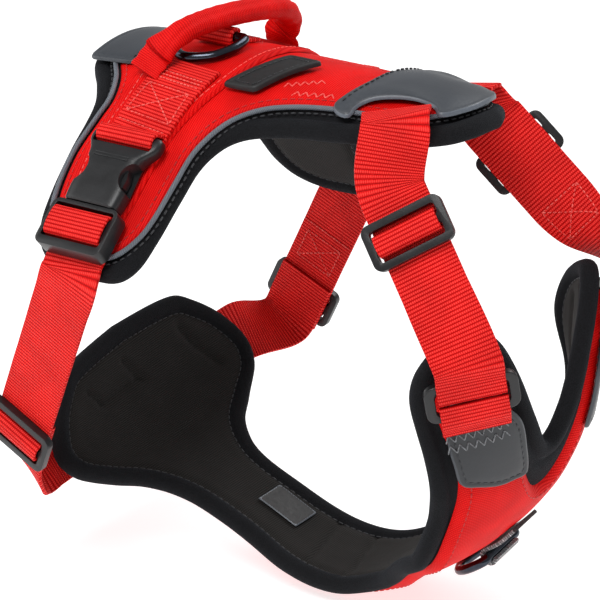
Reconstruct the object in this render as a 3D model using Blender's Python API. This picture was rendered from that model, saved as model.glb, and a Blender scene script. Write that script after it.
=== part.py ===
"""No-pull dog harness, size S: padded back panel, chest plate, four adjustable straps and their hardware.

Units are metres. +X points to the dog's head, +Y to its left side, +Z up. The origin is the
middle of the back panel's ridge, where the harness rests on the wearer.
"""

import math

import bmesh
import bpy
from mathutils import Matrix, Vector
from mathutils.geometry import delaunay_2d_cdt

MM = 0.001
GAP = 0.3                      # clearance between pieces that touch, in mm like all sizes below

# Webbing and sheet thicknesses
WEB = 25.0                     # webbing width, which sets every buckle and slider
WEB_T = 1.5
PAD_T = 7.0
SHELL_T = 1.3
COVER_T = 1.6

# Back panel: a saddle with a round ridge and straight flanks, rolled a little to the left side
RIDGE_RADIUS = 65.0
FLANK_ANGLE = math.radians(48)
RIDGE_CREST = 1.8
RIDGE_SAG = 0.0005             # per mm, how the ridge drops towards both ends
BACK_ROLL = math.radians(-6)
NOSE_SKEW = 0.38               # how much shorter the front end is on the left, per mm across

# Chest plate: a spine curve in the XZ plane, with ribs that curl up on both sides
SPINE = [(-96, -112), (-85, -139.5), (-70, -160.5), (-47, -174.5), (-22, -187), (3, -198), (28, -200.5),
         (51, -191), (67, -177.5), (84, -166), (99.5, -145.5), (109, -118), (113.5, -90), (117, -63)]
RIB_CURL = [(0, 0.0015), (62, 0.0019), (115, 0.0023), (194, 0.0024), (222, 0.0029),
            (262, 0.0063), (306, 0.0091), (342, 0.0091)]
CHEST_ROLL = [(0, 9.0), (62, 5.5), (135, 1.8), (222, 6.5), (342, 4.0)]
CHEST_SWAY = [(0, -4.2), (62, -8.0), (135, -2.5), (222, 1.5), (342, 1.8)]
CHEST_TURN = [(0, 0.041), (62, 0.079), (135, 0.058), (222, 0.058), (342, 0.092)]
ROLL_CENTRE_Z = -140.0

# Half outlines of the sheets, as (along, across), from the rear centre to the front centre
BACK_PAD = [(-88, 0), (-86, 14), (-81, 27), (-72, 39), (-67, 50), (-67, 68), (-66, 86),
            (-63, 101), (-56, 111), (-45, 116), (-32, 117), (-21, 116), (-15, 109), (-13, 97),
            (-12, 80), (-10, 63), (-1, 51), (15, 45), (36, 41), (52, 37), (66, 32), (76, 24),
            (81, 13), (82, 0)]
BACK_SHELL = [(-77, 0), (-75, 12), (-70, 24), (-62, 35), (-58, 46), (-59, 56), (-61, 70),
              (-60, 84), (-57, 95), (-51, 104), (-42, 108), (-32, 109), (-24, 107), (-18.5, 99),
              (-16.5, 90), (-15.5, 76), (-14, 61), (-7, 47), (3, 38), (15, 33), (30, 29.5),
              (46, 27.5), (59, 24), (68, 17), (72, 9), (73, 0)]
SADDLE_PANEL = [(-58, 0), (-58, 12), (-57, 24), (-55, 34), (-54, 46), (-56, 58), (-57, 70),
                (-56, 84), (-53, 94), (-46, 101), (-37, 103), (-30, 101), (-26, 92), (-25, 76),
                (-24, 60), (-20, 46), (-16, 33), (-14, 20), (-13, 0)]
CHEST_PAD = [(9.5, 0), (12, 31), (18, 42), (29.5, 52.5), (44, 58.5), (57.5, 54.5), (68, 42), (77, 29.5),
             (91, 22), (115, 21.6), (135, 23.5), (155, 25), (180, 27.5), (201, 35), (218, 45),
             (235, 49), (253, 50), (273, 54), (293, 60), (309, 63.5), (323.5, 58.5), (333, 47),
             (334, 38.5), (327.5, 30.5), (313, 21.7), (295.5, 13), (281.5, 5), (278, 0)]
CHEST_SHELL = [(18.5, 0), (21, 28), (27, 39), (36, 46.5), (46, 49), (54, 45), (62, 35), (71, 22), (88, 13.5),
               (115, 12.5), (150, 15.5), (180, 19), (201, 28.5), (220, 38), (240, 42), (258, 42.5),
               (272, 43.5), (284, 46.5), (296, 51), (307, 54), (318, 50), (324, 43), (322, 38),
               (311, 31), (299, 24), (286, 19.5), (274, 15.5), (265, 10), (260, 5), (258.5, 0)]

# Covers of smooth rubber-coated fabric
REAR_COVER = (-81.0, -59.0, 29.0)          # rear edge, front edge, half width
FRONT_COVER = [(33, 0), (33, 12), (31, 23), (30, 30), (33, 34), (38, 35), (39.4, 33), (39.2, 29),
               (43, 24.6), (49, 21.4), (54, 19.5), (60, 18.3), (64.5, 18.8), (66.6, 20.2), (68.2, 22.2),
               (70.3, 21.6), (73, 18.5), (76, 12.7), (77, 7), (76.5, 0)]
ARM_COVER = [(276.5, 18.5), (274.5, 24), (273.5, 30), (274.5, 38), (276, 44.5), (283, 47), (291, 49),
             (303, 50.5), (310, 48), (312, 41), (307, 31), (300, 24), (289, 21)]

# Strap routes
BUCKLE_TOP = (-37.0, 62.5)                 # (along, across) of the socket's upper edge
NECK_EXIT = (53.7, 25.6)                   # where the neck strap leaves the front cover
NECK_SLIDERS = ((68.5, 40.0, -38.0), (67.5, 38.0, -30.5))   # right, left
NECK_WEFTS = ((0.79, 0.38, 0.40), (0.78, 0.50, 0.34))
CHEST_RING_AT = (314.0, 43.0)
GIRTH_SLIDER = (-68.0, 86.0, -132.0)
BELLY_TAB = (41.0, 46.0)
SIDE_TURN = 0.06                           # how far forward the left side hangs, per mm of Y

# Handle, leash ring and front ring
HANDLE_AT, HANDLE_SKEW = -43.0, 0.15       # along the ridge, and its slant to the left
HANDLE_FOOT, HANDLE_RISE, HANDLE_RADIUS = 32.0, 16.3, 4.0
HANDLE_LEAN = 11.0                         # how far the arch bows forwards
BACK_RING = (-38.0, -6.0, -11.0, 12.0)     # along, across, tilt in degrees, half width
FRONT_RING = (222.5, 4.0, 11.5)            # along the spine, tilt in degrees, half width

# Hardware
SLIDER = (31.5, 17.5, 3.0)                 # width, height and thickness of a strap slider
SLIDER_BAR = 2.8
CHEST_RING = (34.0, 15.0, 3.0)
RING_WIRE = 3.8
SOCKET_LENGTH, SOCKET_WIDTH, SOCKET_THICK = 32.0, 23.0, 9.0
PLUG_FRAME = (29.0, 19.0, 7.0)
PRONG_LENGTH, PRONG_THICK = 19.0, 3.6
SOCKET_WALL = 1.7


# ---------------------------------------------------------------- curves and surfaces

def lerp_table(table, at):
    """Smooth value of a table of (position, value) pairs."""
    if at <= table[0][0]:
        return table[0][1]
    for (a, va), (b, vb) in zip(table, table[1:]):
        if at <= b:
            t = (at - a) / (b - a)
            return va + (vb - va) * t * t * (3 - 2 * t)
    return table[-1][1]


def catmull(points, steps, closed=False):
    """A Catmull-Rom curve through the points, with this many steps to each span."""
    pts = [Vector(p) for p in points]
    count = len(pts)
    spans = count if closed else count - 1
    curve = []
    for i in range(spans):
        if closed:
            p0, p1, p2, p3 = (pts[(i + k - 1) % count] for k in range(4))
        else:
            p0, p1, p2, p3 = (pts[min(max(i + k - 1, 0), count - 1)] for k in range(4))
        for j in range(steps):
            t = j / steps
            curve.append(0.5 * (2 * p1 + (p2 - p0) * t + (2 * p0 - 5 * p1 + 4 * p2 - p3) * t ** 2
                                + (3 * p1 - p0 - 3 * p2 + p3) * t ** 3))
    if not closed:
        curve.append(pts[-1])
    return curve


def arc_lengths(curve):
    lengths = [0.0]
    for a, b in zip(curve, curve[1:]):
        lengths.append(lengths[-1] + (b - a).length)
    return lengths


SPINE_CURVE = catmull(SPINE, 12)
SPINE_LENGTHS = arc_lengths(SPINE_CURVE)


def spine_at(v):
    """Point and unit tangent of the chest plate's spine, at this length from its rear end."""
    v = min(max(v, 0.0), SPINE_LENGTHS[-1] - 0.01)
    i = next(k for k, length in enumerate(SPINE_LENGTHS) if length > v) - 1
    a, b = SPINE_CURVE[i], SPINE_CURVE[i + 1]
    t = (v - SPINE_LENGTHS[i]) / (SPINE_LENGTHS[i + 1] - SPINE_LENGTHS[i])
    i0, i1 = max(i - 1, 0), min(i + 2, len(SPINE_CURVE) - 1)
    tangent = (b - SPINE_CURVE[i0]).normalized().lerp((SPINE_CURVE[i1] - a).normalized(), t)
    return a.lerp(b, t), tangent.normalized()


def chest_point(v, w, h=0.0):
    """Point of the chest plate: v along its spine, w to the left, h outwards from its pad."""
    point, tangent = spine_at(v)
    radius = 1 / (2 * lerp_table(RIB_CURL, v))
    angle = w / radius
    out_x, out_z = tangent.y, -tangent.x
    inset = radius * (1 - math.cos(angle)) - h * math.cos(angle)
    x = point.x - out_x * inset
    y = (radius + h) * math.sin(angle) + lerp_table(CHEST_SWAY, v)
    z = point.y - out_z * inset
    roll = math.radians(lerp_table(CHEST_ROLL, v))
    drop = z - ROLL_CENTRE_Z
    y, z = y * math.cos(roll) - drop * math.sin(roll), y * math.sin(roll) + drop * math.cos(roll)
    return Vector((x + lerp_table(CHEST_TURN, v) * y, y, z + ROLL_CENTRE_Z))


def back_point(x, s, h=0.0):
    """Point of the back panel: x along its ridge, s to the left over its surface, h outwards."""
    side = 1 if s >= 0 else -1
    arc = min(abs(s), RIDGE_RADIUS * FLANK_ANGLE)
    angle = arc / RIDGE_RADIUS
    flank = abs(s) - arc
    y = RIDGE_RADIUS * math.sin(angle) + flank * math.cos(angle) + h * math.sin(angle)
    z = -RIDGE_RADIUS * (1 - math.cos(angle)) - flank * math.sin(angle) + h * math.cos(angle)
    z += RIDGE_CREST - RIDGE_SAG * x * x
    y *= side
    front = min(max((x - 38) / 35, 0.0), 1.0)
    x -= NOSE_SKEW * max(s, 0.0) * front * front * (3 - 2 * front)
    turned_y = y * math.cos(BACK_ROLL) - z * math.sin(BACK_ROLL)
    turned_z = y * math.sin(BACK_ROLL) + z * math.cos(BACK_ROLL)
    return Vector((x, turned_y, turned_z))


def axes_at(surface, along, across, h):
    """A frame in mm on a surface: Y down the side, and Z outwards."""
    side = 1 if across >= 0 else -1
    here = surface(along, across, h)
    down = (surface(along, across + side, h) - here).normalized()
    out = (surface(along, across, h + 1) - here).normalized()
    return frame_matrix(here, down, out)


def frame_matrix(origin, y_axis, z_axis):
    """A frame with this Y and, as near as can be, this Z."""
    y_axis = y_axis.normalized()
    x_axis = y_axis.cross(z_axis).normalized()
    turn = Matrix((x_axis, y_axis, x_axis.cross(y_axis))).transposed().to_4x4()
    return Matrix.Translation(origin) @ turn


# ---------------------------------------------------------------- materials and objects

def material(name, colour, roughness, metallic=0.0):
    made = bpy.data.materials.new(name)
    made.use_nodes = True
    shader = made.node_tree.nodes["Principled BSDF"]
    shader.inputs["Base Color"].default_value = (*colour, 1.0)
    shader.inputs["Roughness"].default_value = roughness
    shader.inputs["Metallic"].default_value = metallic
    made.diffuse_color = (*colour, 1.0)
    return made


RED = ((0.78, 0.012, 0.012), 0.72, 0.0)
BLACK_MESH = ((0.018, 0.018, 0.020), 0.92, 0.0)
BLACK_PLASTIC = ((0.022, 0.023, 0.025), 0.45, 0.0)
SLATE = ((0.13, 0.145, 0.165), 0.50, 0.0)
PIPING = ((0.20, 0.23, 0.27), 0.45, 0.0)
GUNMETAL = ((0.10, 0.11, 0.12), 0.25, 1.0)
SILVER_WEB = ((0.30, 0.31, 0.32), 0.60, 0.0)


def pivot(name, place):
    """An empty whose Z is a joint's axis, from a frame in mm."""
    made = bpy.data.objects.new(name, None)
    made.matrix_world = Matrix.Translation(place.translation * MM) @ place.to_3x3().to_4x4()
    bpy.context.scene.collection.objects.link(made)
    return made


def add_object(name, bm, look, mover=None):
    """Makes the named object from a bmesh in millimetres, under the empty that moves it."""
    bmesh.ops.recalc_face_normals(bm, faces=bm.faces)
    bmesh.ops.transform(bm, matrix=Matrix.Scale(MM, 4), verts=bm.verts)
    if bm.calc_volume(signed=True) < 0:
        bmesh.ops.reverse_faces(bm, faces=bm.faces)
    if mover:
        bmesh.ops.transform(bm, matrix=mover.matrix_basis.inverted(), verts=bm.verts)
    mesh = bpy.data.meshes.new(name)
    bm.to_mesh(mesh)
    bm.free()
    mesh.shade_smooth()
    mesh.set_sharp_from_angle(angle=math.radians(35))
    made = bpy.data.objects.new(name, mesh)
    made.parent = mover
    mesh.materials.append(material(name, *look))
    bpy.context.scene.collection.objects.link(made)
    return made


def cut_sheet(name, surface, half, inner, outer, look, spacing=8.0, mirrored=True, side=1,
              steps=2):
    """A sheet cut to an outline on a curved surface, between two heights."""
    if mirrored:
        half_curve = catmull(half, steps)
        outline = half_curve + [Vector((p.x, -p.y)) for p in reversed(half_curve[1:-1])]
    else:
        outline = [Vector((p.x, side * p.y)) for p in catmull(half, steps, closed=True)]
    return sheet_from_outline(name, surface, outline, inner, outer, look, spacing)


def inside(point, outline):
    hit = False
    for a, b in zip(outline, outline[1:] + outline[:1]):
        if (a.y > point.y) != (b.y > point.y):
            if point.x < a.x + (point.y - a.y) * (b.x - a.x) / (b.y - a.y):
                hit = not hit
    return hit


def sheet_from_outline(name, surface, outline, inner, outer, look, spacing=8.0):
    points = list(outline)
    rim = len(points)
    lows = [min(p[k] for p in outline) for k in (0, 1)]
    highs = [max(p[k] for p in outline) for k in (0, 1)]
    for i in range(int((highs[0] - lows[0]) / spacing) + 1):
        for j in range(int((highs[1] - lows[1]) / spacing) + 1):
            spot = Vector((lows[0] + (i + 0.5) * spacing, lows[1] + (j + 0.5) * spacing))
            clear = min((spot - p).length for p in outline) > 0.55 * spacing
            if clear and inside(spot, outline):
                points.append(spot)
    loop = [(k, (k + 1) % rim) for k in range(rim)]
    flat, _, faces, *_ = delaunay_2d_cdt(points, loop, [list(range(rim))], 1, 1e-5)
    bm = bmesh.new()
    below = [bm.verts.new(surface(p.x, p.y, inner)) for p in flat]
    above = [bm.verts.new(surface(p.x, p.y, outer)) for p in flat]
    edges = {}
    for face in faces:
        bm.faces.new([above[k] for k in face])
        bm.faces.new([below[k] for k in reversed(face)])
        for a, b in zip(face, face[1:] + face[:1]):
            edges[(a, b)] = edges.get((a, b), 0) + 1
    for a, b in edges:
        if (b, a) not in edges:
            bm.faces.new([above[b], above[a], below[a], below[b]])
    return add_object(name, bm, look)


def hermite(stations, steps):
    """Points and weft directions along a route of (position, direction, weft) stations."""
    route = []
    for (p0, d0, w0), (p1, d1, w1) in zip(stations, stations[1:]):
        span = (p1 - p0).length
        for k in range(steps):
            t = k / steps
            point = ((2 * t ** 3 - 3 * t ** 2 + 1) * p0 + (t ** 3 - 2 * t ** 2 + t) * span * d0
                     + (3 * t ** 2 - 2 * t ** 3) * p1 + (t ** 3 - t ** 2) * span * d1)
            route.append((point, w0.lerp(w1, t).normalized()))
    route.append((stations[-1][0], stations[-1][2].normalized()))
    return route


def strap(name, stations, look, mover=None, width=WEB, thick=WEB_T, steps=6):
    """A flat strap swept along its stations."""
    route = hermite(stations, steps)
    bm = bmesh.new()
    rings = []
    for i, (point, weft) in enumerate(route):
        before, after = route[max(i - 1, 0)][0], route[min(i + 1, len(route) - 1)][0]
        ahead = (after - before).normalized()
        weft = (weft - ahead * weft.dot(ahead)).normalized()
        normal = weft.cross(ahead)
        rings.append([bm.verts.new(point + weft * a * width / 2 + normal * b * thick / 2)
                      for a, b in ((-1, -1), (1, -1), (1, 1), (-1, 1))])
    for near, far in zip(rings, rings[1:]):
        for k in range(4):
            bm.faces.new([near[k], near[(k + 1) % 4], far[(k + 1) % 4], far[k]])
    bm.faces.new(rings[0])
    bm.faces.new(reversed(rings[-1]))
    return add_object(name, bm, look, mover)


def tube(name, curve, radius, look, sides=8, closed=True, mover=None):
    """A round wire or rope along a curve."""
    bm = bmesh.new()
    rings = []
    count = len(curve)
    normal = None
    for i, point in enumerate(curve):
        before = curve[i - 1] if closed or i else point
        after = curve[(i + 1) % count] if closed or i < count - 1 else point
        ahead = (after - before).normalized()
        if normal is None:
            normal = ahead.orthogonal().normalized()
        normal = (normal - ahead * normal.dot(ahead)).normalized()
        other = ahead.cross(normal)
        rings.append([bm.verts.new(point + normal * radius * math.cos(a)
                                   + other * radius * math.sin(a))
                      for a in (2 * math.pi * k / sides for k in range(sides))])
    shift = 0
    if closed:
        first = rings[0][0].co
        shift = min(range(sides), key=lambda k: (rings[-1][k].co - first).length)
    pairs = list(zip(rings, rings[1:]))
    for near, far in pairs:
        for k in range(sides):
            bm.faces.new([near[k], near[(k + 1) % sides], far[(k + 1) % sides], far[k]])
    if closed:
        near, far = rings[-1], rings[0]
        for k in range(sides):
            a, b = (k + shift) % sides, (k + 1 + shift) % sides
            bm.faces.new([near[a], near[b], far[(k + 1) % sides], far[k]])
    else:
        bm.faces.new(rings[0])
        bm.faces.new(reversed(rings[-1]))
    return add_object(name, bm, look, mover)


def rounded_rectangle(width, height, radius, steps=3, centre=(0, 0)):
    corners = [(1, 1, 0), (-1, 1, 90), (-1, -1, 180), (1, -1, 270)]
    outline = []
    for sx, sy, start in corners:
        for k in range(steps + 1):
            a = math.radians(start + 90 * k / steps)
            outline.append(Vector((centre[0] + sx * (width / 2 - radius) + radius * math.cos(a),
                                   centre[1] + sy * (height / 2 - radius) + radius * math.sin(a))))
    return outline


def plate(name, outline, holes, low, high, place, look, mover=None):
    """A flat plate with holes, between two heights of its own frame."""
    loops = [list(outline)] + [list(h) for h in holes]
    points, edges = [], []
    for loop in loops:
        start = len(points)
        points += [Vector((p[0], p[1])) for p in loop]
        edges += [(start + k, start + (k + 1) % len(loop)) for k in range(len(loop))]
    flat, _, faces, *_ = delaunay_2d_cdt(points, edges, [], 1, 1e-5)
    faces = [f for f in faces if not any(
        inside(sum((flat[k] for k in f), Vector((0, 0))) / 3, hole) for hole in loops[1:])]
    bm = bmesh.new()
    below = [bm.verts.new(place @ Vector((p.x, p.y, low))) for p in flat]
    above = [bm.verts.new(place @ Vector((p.x, p.y, high))) for p in flat]
    edges = set()
    for face in faces:
        bm.faces.new([above[k] for k in face])
        bm.faces.new([below[k] for k in reversed(face)])
        edges.update(zip(face, face[1:] + face[:1]))
    for a, b in edges:
        if (b, a) not in edges:
            bm.faces.new([above[b], above[a], below[a], below[b]])
    bmesh.ops.delete(bm, geom=[v for v in bm.verts if not v.link_faces], context="VERTS")
    return add_object(name, bm, look, mover)


# ---------------------------------------------------------------- back panel

def strip_outline(x0, x1, s0, s1, lean=0.0, steps=8):
    """A strip over the ridge, from across s0 to across s1, leaning forwards as it goes."""
    rear = [Vector((x0 + lean * (s0 + (s1 - s0) * k / steps), s0 + (s1 - s0) * k / steps))
            for k in range(steps + 1)]
    front = [Vector((p.x + x1 - x0, p.y)) for p in reversed(rear)]
    return rear + front


SHELL_LOW = GAP
SADDLE_LOW = SHELL_LOW + SHELL_T + GAP
TRIM_LOW = SADDLE_LOW + SHELL_T + GAP
SOCKET_LOW = TRIM_LOW + 0.1
CHEST_LOW = 4 * GAP
ARM_COVER_LOW = CHEST_LOW + SHELL_T + 2 * GAP


def build_back():
    cut_sheet("back_lining_pad", back_point, BACK_PAD, -PAD_T, 0, BLACK_MESH, 9)
    cut_sheet("back_shell", back_point, BACK_SHELL, SHELL_LOW, SHELL_LOW + SHELL_T, RED, 9)
    cut_sheet("back_saddle_panel", back_point, SADDLE_PANEL, SADDLE_LOW,
              SADDLE_LOW + SHELL_T, RED, 9)
    edge = [Vector((p.x, p.y)) for p in catmull(BACK_SHELL, 2)]
    edge = edge + [Vector((p.x, -p.y)) for p in reversed(edge[1:-1])]
    around = []
    count = len(edge)
    for k, p in enumerate(edge):
        ahead = (edge[(k + 1) % count] - edge[k - 1]).normalized()
        out = p + Vector((-ahead.y, ahead.x)) * 1.6
        around.append(back_point(out.x, out.y, 1.15))
    tube("back_piping", around, 0.8, PIPING, sides=6)
    rear, front, half = REAR_COVER
    sheet_from_outline("rear_cover", back_point, strip_outline(rear, front, -half, half, steps=10),
                       SADDLE_LOW + GAP, SADDLE_LOW + GAP + COVER_T, SLATE, 9)
    cut_sheet("front_cover", back_point, FRONT_COVER, TRIM_LOW + 0.2, TRIM_LOW + 2.3, SLATE, 9,
              steps=1)
    sheet_from_outline("blank_patch", back_point, strip_outline(0.8, 15.8, -34, -8.5, 0.5, 6),
                       TRIM_LOW, TRIM_LOW + 2.0, BLACK_PLASTIC, 6)


def build_ring(name, keeper_name, place, tilt, half, look):
    """A D-ring and the webbing that holds its bar. X of the place is the bar, Z is outwards."""
    radius = RING_WIRE / 2
    centre = place @ Matrix.Translation((0, 0, radius + GAP + WEB_T))
    hinge = centre @ Matrix.Rotation(math.radians(90), 4, "Y")
    mover = pivot(name + "_hinge", hinge)
    flat = centre @ Matrix.Rotation(math.radians(tilt), 4, "X")
    profile = [(-half, 0), (-half + 5, 0), (0, 0), (half - 5, 0), (half, 0), (half + 1, 6),
               (half - 0.5, 12), (half - 4, 17), (0, 20.5), (4 - half, 17), (0.5 - half, 12),
               (-half - 1, 6)]
    curve = [flat @ Vector((p.x, p.y, 0)) for p in catmull([Vector(q) for q in profile], 2, True)]
    tube(name, curve, radius, GUNMETAL, sides=8, mover=mover)
    inner, outer = radius + GAP, radius + GAP + WEB_T
    across = centre @ Matrix.Rotation(math.radians(90), 4, "Y")
    loop = [(-outer * math.cos(a), outer * math.sin(a))
            for a in (math.radians(k) for k in range(-60, 121, 20))]
    tail = [(outer, -6), (outer, -14), (outer - 1.4, -14), (inner - 0.6, -7)]
    outline = [Vector(p) for p in loop] + [Vector((outer, 0))] + [Vector(p) for p in tail]
    hole = [Vector((inner * math.cos(a), inner * math.sin(a)))
            for a in (2 * math.pi * k / 12 for k in range(12))]
    plate(keeper_name, outline, [hole], -8.5, 8.5, across, look)


def build_handle():
    """The soft lifting handle that arches from side to side over the leash ring."""
    right, left = (back_point(HANDLE_AT + HANDLE_SKEW * s, s, TRIM_LOW + WEB_T + 3.0)
                   for s in (-HANDLE_FOOT, HANDLE_FOOT))
    across = (left - right).normalized()
    up = Vector((0, 0, 1))
    middle = (left + right) / 2
    mover = pivot("handle_hinge", frame_matrix(middle, up.cross(across), across))
    span = (left - right).length / 2
    arch = [(-0.98, 0.10), (-0.93, 0.42), (-0.72, 0.76), (-0.36, 0.94), (0, 1), (0.36, 1.0),
            (0.72, 0.90), (0.95, 0.55), (0.98, 0.12)]
    curve = [middle + across * span * p.x + up * HANDLE_RISE * p.y
             + Vector((HANDLE_LEAN * p.y, 0, 0)) for p in catmull([Vector(q) for q in arch], 2)]
    tube("handle_grip", curve, HANDLE_RADIUS, RED, sides=10, closed=False, mover=mover)


# ---------------------------------------------------------------- buckles and sliders

def side_on(place):
    """The frame whose X and Y are the other's Y and Z, to extrude a profile across it."""
    columns = [place.col[k].copy() for k in (1, 2, 0, 3)]
    return Matrix(columns).transposed()


def box_cutter(name, low, high, place, mover=None):
    """A box that another object is cut or joined by."""
    bm = bmesh.new()
    bmesh.ops.create_cube(bm, size=1)
    size, middle = Vector(high) - Vector(low), (Vector(high) + Vector(low)) / 2
    bmesh.ops.transform(bm, matrix=place @ Matrix.Translation(middle)
                        @ Matrix.Diagonal((*size, 1)), verts=bm.verts)
    made = add_object(name, bm, BLACK_PLASTIC, mover)
    made.hide_render = True
    made.display_type = "WIRE"
    return made


def combine(target, tool, operation):
    change = target.modifiers.new(tool.name, "BOOLEAN")
    change.operation = operation
    change.object = tool
    change.solver = "EXACT"


def socket_outline():
    ear, waist = WEB / 2 + 2.5, SOCKET_WIDTH / 2
    half = [(ear - 2, 0), (ear, 2), (ear, 5), (waist + 0.5, 11), (waist, 18),
            (waist, SOCKET_LENGTH)]
    return [Vector(p) for p in half] + [Vector((-x, y)) for x, y in reversed(half)]


def build_socket(side_name, place):
    waist, wall = SOCKET_WIDTH / 2, SOCKET_WALL
    slot = rounded_rectangle(WEB + 0.8, 3.4, 0.5, 1, (0, 5.2))
    socket = plate(f"{side_name}_buckle_socket", socket_outline(), [slot], 0, SOCKET_THICK, place,
                   BLACK_PLASTIC)
    cavity = box_cutter(f"{side_name}_cavity_cutter", (wall - waist, 9.5, wall),
                        (waist - wall, SOCKET_LENGTH + 1, SOCKET_THICK - wall), place)
    window = box_cutter(f"{side_name}_window_cutter", (-waist - 2, 13.0, wall + 0.8),
                        (waist + 2, 25.0, SOCKET_THICK - wall - 0.8), place)
    combine(socket, cavity, "DIFFERENCE")
    combine(socket, window, "DIFFERENCE")


def build_plug(side_name, place):
    """The plug: a frame for the strap, a middle tongue, and two prongs that squeeze inwards."""
    mover = pivot(f"{side_name}_plug_slide", place @ Matrix.Rotation(math.radians(-90), 4, "X"))
    width, length, thick = PLUG_FRAME
    start = SOCKET_LENGTH + GAP
    middle = start + length / 2
    slots = [rounded_rectangle(WEB + 0.8, 3.2, 0.5, 1, (0, middle + dy)) for dy in (0.4, 6.2)]
    low = (SOCKET_THICK - thick) / 2
    plug = plate(f"{side_name}_buckle_plug",
                 rounded_rectangle(width, length, 2.0, 2, (0, middle)), slots, low, low + thick,
                 place, BLACK_PLASTIC, mover)
    inset = (SOCKET_THICK - PRONG_THICK) / 2
    tongue = box_cutter(f"{side_name}_tongue_former", (-1.6, 11.0, inset),
                        (1.6, start + 1, SOCKET_THICK - inset), place, mover)
    combine(plug, tongue, "UNION")
    root = start - GAP
    tip = root - PRONG_LENGTH
    outer = SOCKET_WIDTH / 2 - SOCKET_WALL - 0.35
    shape = [(4.9, root), (4.9, tip + 2), (6.0, tip), (7.6, tip), (outer, tip + 6),
             (outer, tip + 9.5), (7.9, tip + 11), (7.9, root)]
    for prong_name, way in (("front", 1), ("rear", -1)):
        sign = way if place.col[0].x > 0 else -way
        axis = place @ Matrix.Translation((sign * 6.4, root, SOCKET_THICK / 2))
        hinge = pivot(f"{side_name}_{prong_name}_prong_hinge", axis)
        plate(f"{side_name}_{prong_name}_prong", [Vector((sign * x, y)) for x, y in shape], [],
              inset, SOCKET_THICK - inset, place, BLACK_PLASTIC, hinge)
    lace = [(middle + y, z) for y, z in
            ((-0.6, low + 1), (0.1, thick + low + 0.6), (1.6, thick + low + 1.8),
             (5.0, thick + low + 1.8), (6.5, thick + low + 0.6), (7.2, low + 1),
             (5.6, low + 1), (5.0, thick + low + 0.3), (1.6, thick + low + 0.3),
             (1.0, low + 1))]
    plate(f"{side_name}_plug_webbing", [Vector(p) for p in lace], [], -WEB / 2, WEB / 2,
          side_on(place), RED, mover)


def build_slider(name, place):
    """A strap slider, and the hump of webbing that passes over its middle bar."""
    mover = pivot(name + "_slide", place @ Matrix.Rotation(math.radians(-90), 4, "X"))
    width, height, thick = SLIDER
    opening = (height - 3 * SLIDER_BAR) / 2
    offset = (opening + SLIDER_BAR) / 2
    holes = [rounded_rectangle(WEB + 0.9, opening, 0.6, 1, (0, way * offset)) for way in (-1, 1)]
    low = WEB_T / 2 + GAP
    plate(name, rounded_rectangle(width, height, 2.2, 3), holes, low, low + thick, place,
          BLACK_PLASTIC, mover)
    top = low + thick + GAP
    half = [(offset + 0.7, low + 0.5), (offset + 0.5, top), (offset - 1.2, top + WEB_T),
            (0, top + WEB_T + 0.3)]
    under = [(0, top + 0.2), (SLIDER_BAR / 2 + 0.3, top), (SLIDER_BAR / 2 + 0.5, low + 0.5)]
    outline = half + [(-y, z) for y, z in reversed(half[:-1])]
    outline += [(-y, z) for y, z in reversed(under[1:])] + under
    plate(name + "_webbing", [Vector(p) for p in outline], [], -WEB / 2, WEB / 2, side_on(place),
          RED, mover)


# ---------------------------------------------------------------- straps

def on_back(side, x, s, h):
    return back_point(x, side * s, h)


def side_shift(side, point):
    x, y, z = point
    return Vector((x + SIDE_TURN * side * y, side * y, z))


def strap_frame(point, ahead, weft, side):
    """A frame on a strap: Y along it and Z to the outside of the harness."""
    out = weft.cross(ahead)
    if out.y * side < 0:
        out = -out
    return frame_matrix(point, ahead, out)


def build_girth_side(side_name, side):
    """Socket, plug and girth strap of one side, down to the chest plate's rear tab."""
    top, across = BUCKLE_TOP
    place = axes_at(back_point, top, side * across, SOCKET_LOW)
    build_socket(side_name, place)
    build_plug(side_name, place)
    weft = place.to_3x3() @ Vector((1, 0, 0))
    if weft.x < 0:
        weft = -weft
    tab = [on_back(side, top + 0.12 * (across - s), s, TRIM_LOW + WEB_T / 2 + 0.2)
           for s in (27.0, 32.0, 37.0, 42.0, 47.0, 52.0, across - 1.5)]
    strap(f"{side_name}_buckle_tab", route_of(tab, [Vector((1, 0, 0))] * len(tab)), RED, steps=1)
    slider = side_shift(side, GIRTH_SLIDER)
    leave = SOCKET_LENGTH + PLUG_FRAME[1] + 1.5
    start = [place @ Vector((0, leave - 9.0, -0.6)), place @ Vector((0, leave, -0.6)),
             place @ Vector((0, leave + 5.0, -2.3))]
    ahead = (slider - start[-1]).normalized()
    side_weft = Vector((1, 0.05 * side, -0.25)).normalized()
    side_weft = (side_weft - ahead * side_weft.dot(ahead)).normalized()
    points = start + [start[-1] + ahead * 12, slider + ahead * 10.5]
    wefts = [weft, weft, weft.lerp(side_weft, 0.3), side_weft, side_weft]
    strap(f"{side_name}_girth_strap", route_of(points, wefts), RED, steps=3)
    frame = strap_frame(slider, ahead, side_weft, side)
    build_slider(f"{side_name}_girth_slider", frame)
    along, across = BELLY_TAB
    outer = CHEST_LOW + SHELL_T + GAP + WEB_T / 2 + 0.2
    below = -WEB_T - GAP
    rear_weft = chest_point(along + 1, side * across) - chest_point(along, side * across)
    points = [frame @ Vector((0, -11.0, below)), frame @ Vector((0, 10.0, below)),
              chest_point(along, side * (across + 18), outer + 0.5),
              chest_point(along, side * (across + 10), outer),
              chest_point(along, side * (across - 8), outer)]
    stations = route_of(points, [side_weft, side_weft, rear_weft, rear_weft, rear_weft])
    stations[0] = (points[0], ahead, side_weft)
    stations[1] = (points[1], ahead, side_weft)
    strap(f"{side_name}_belly_strap", stations, RED, steps=4)


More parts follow.
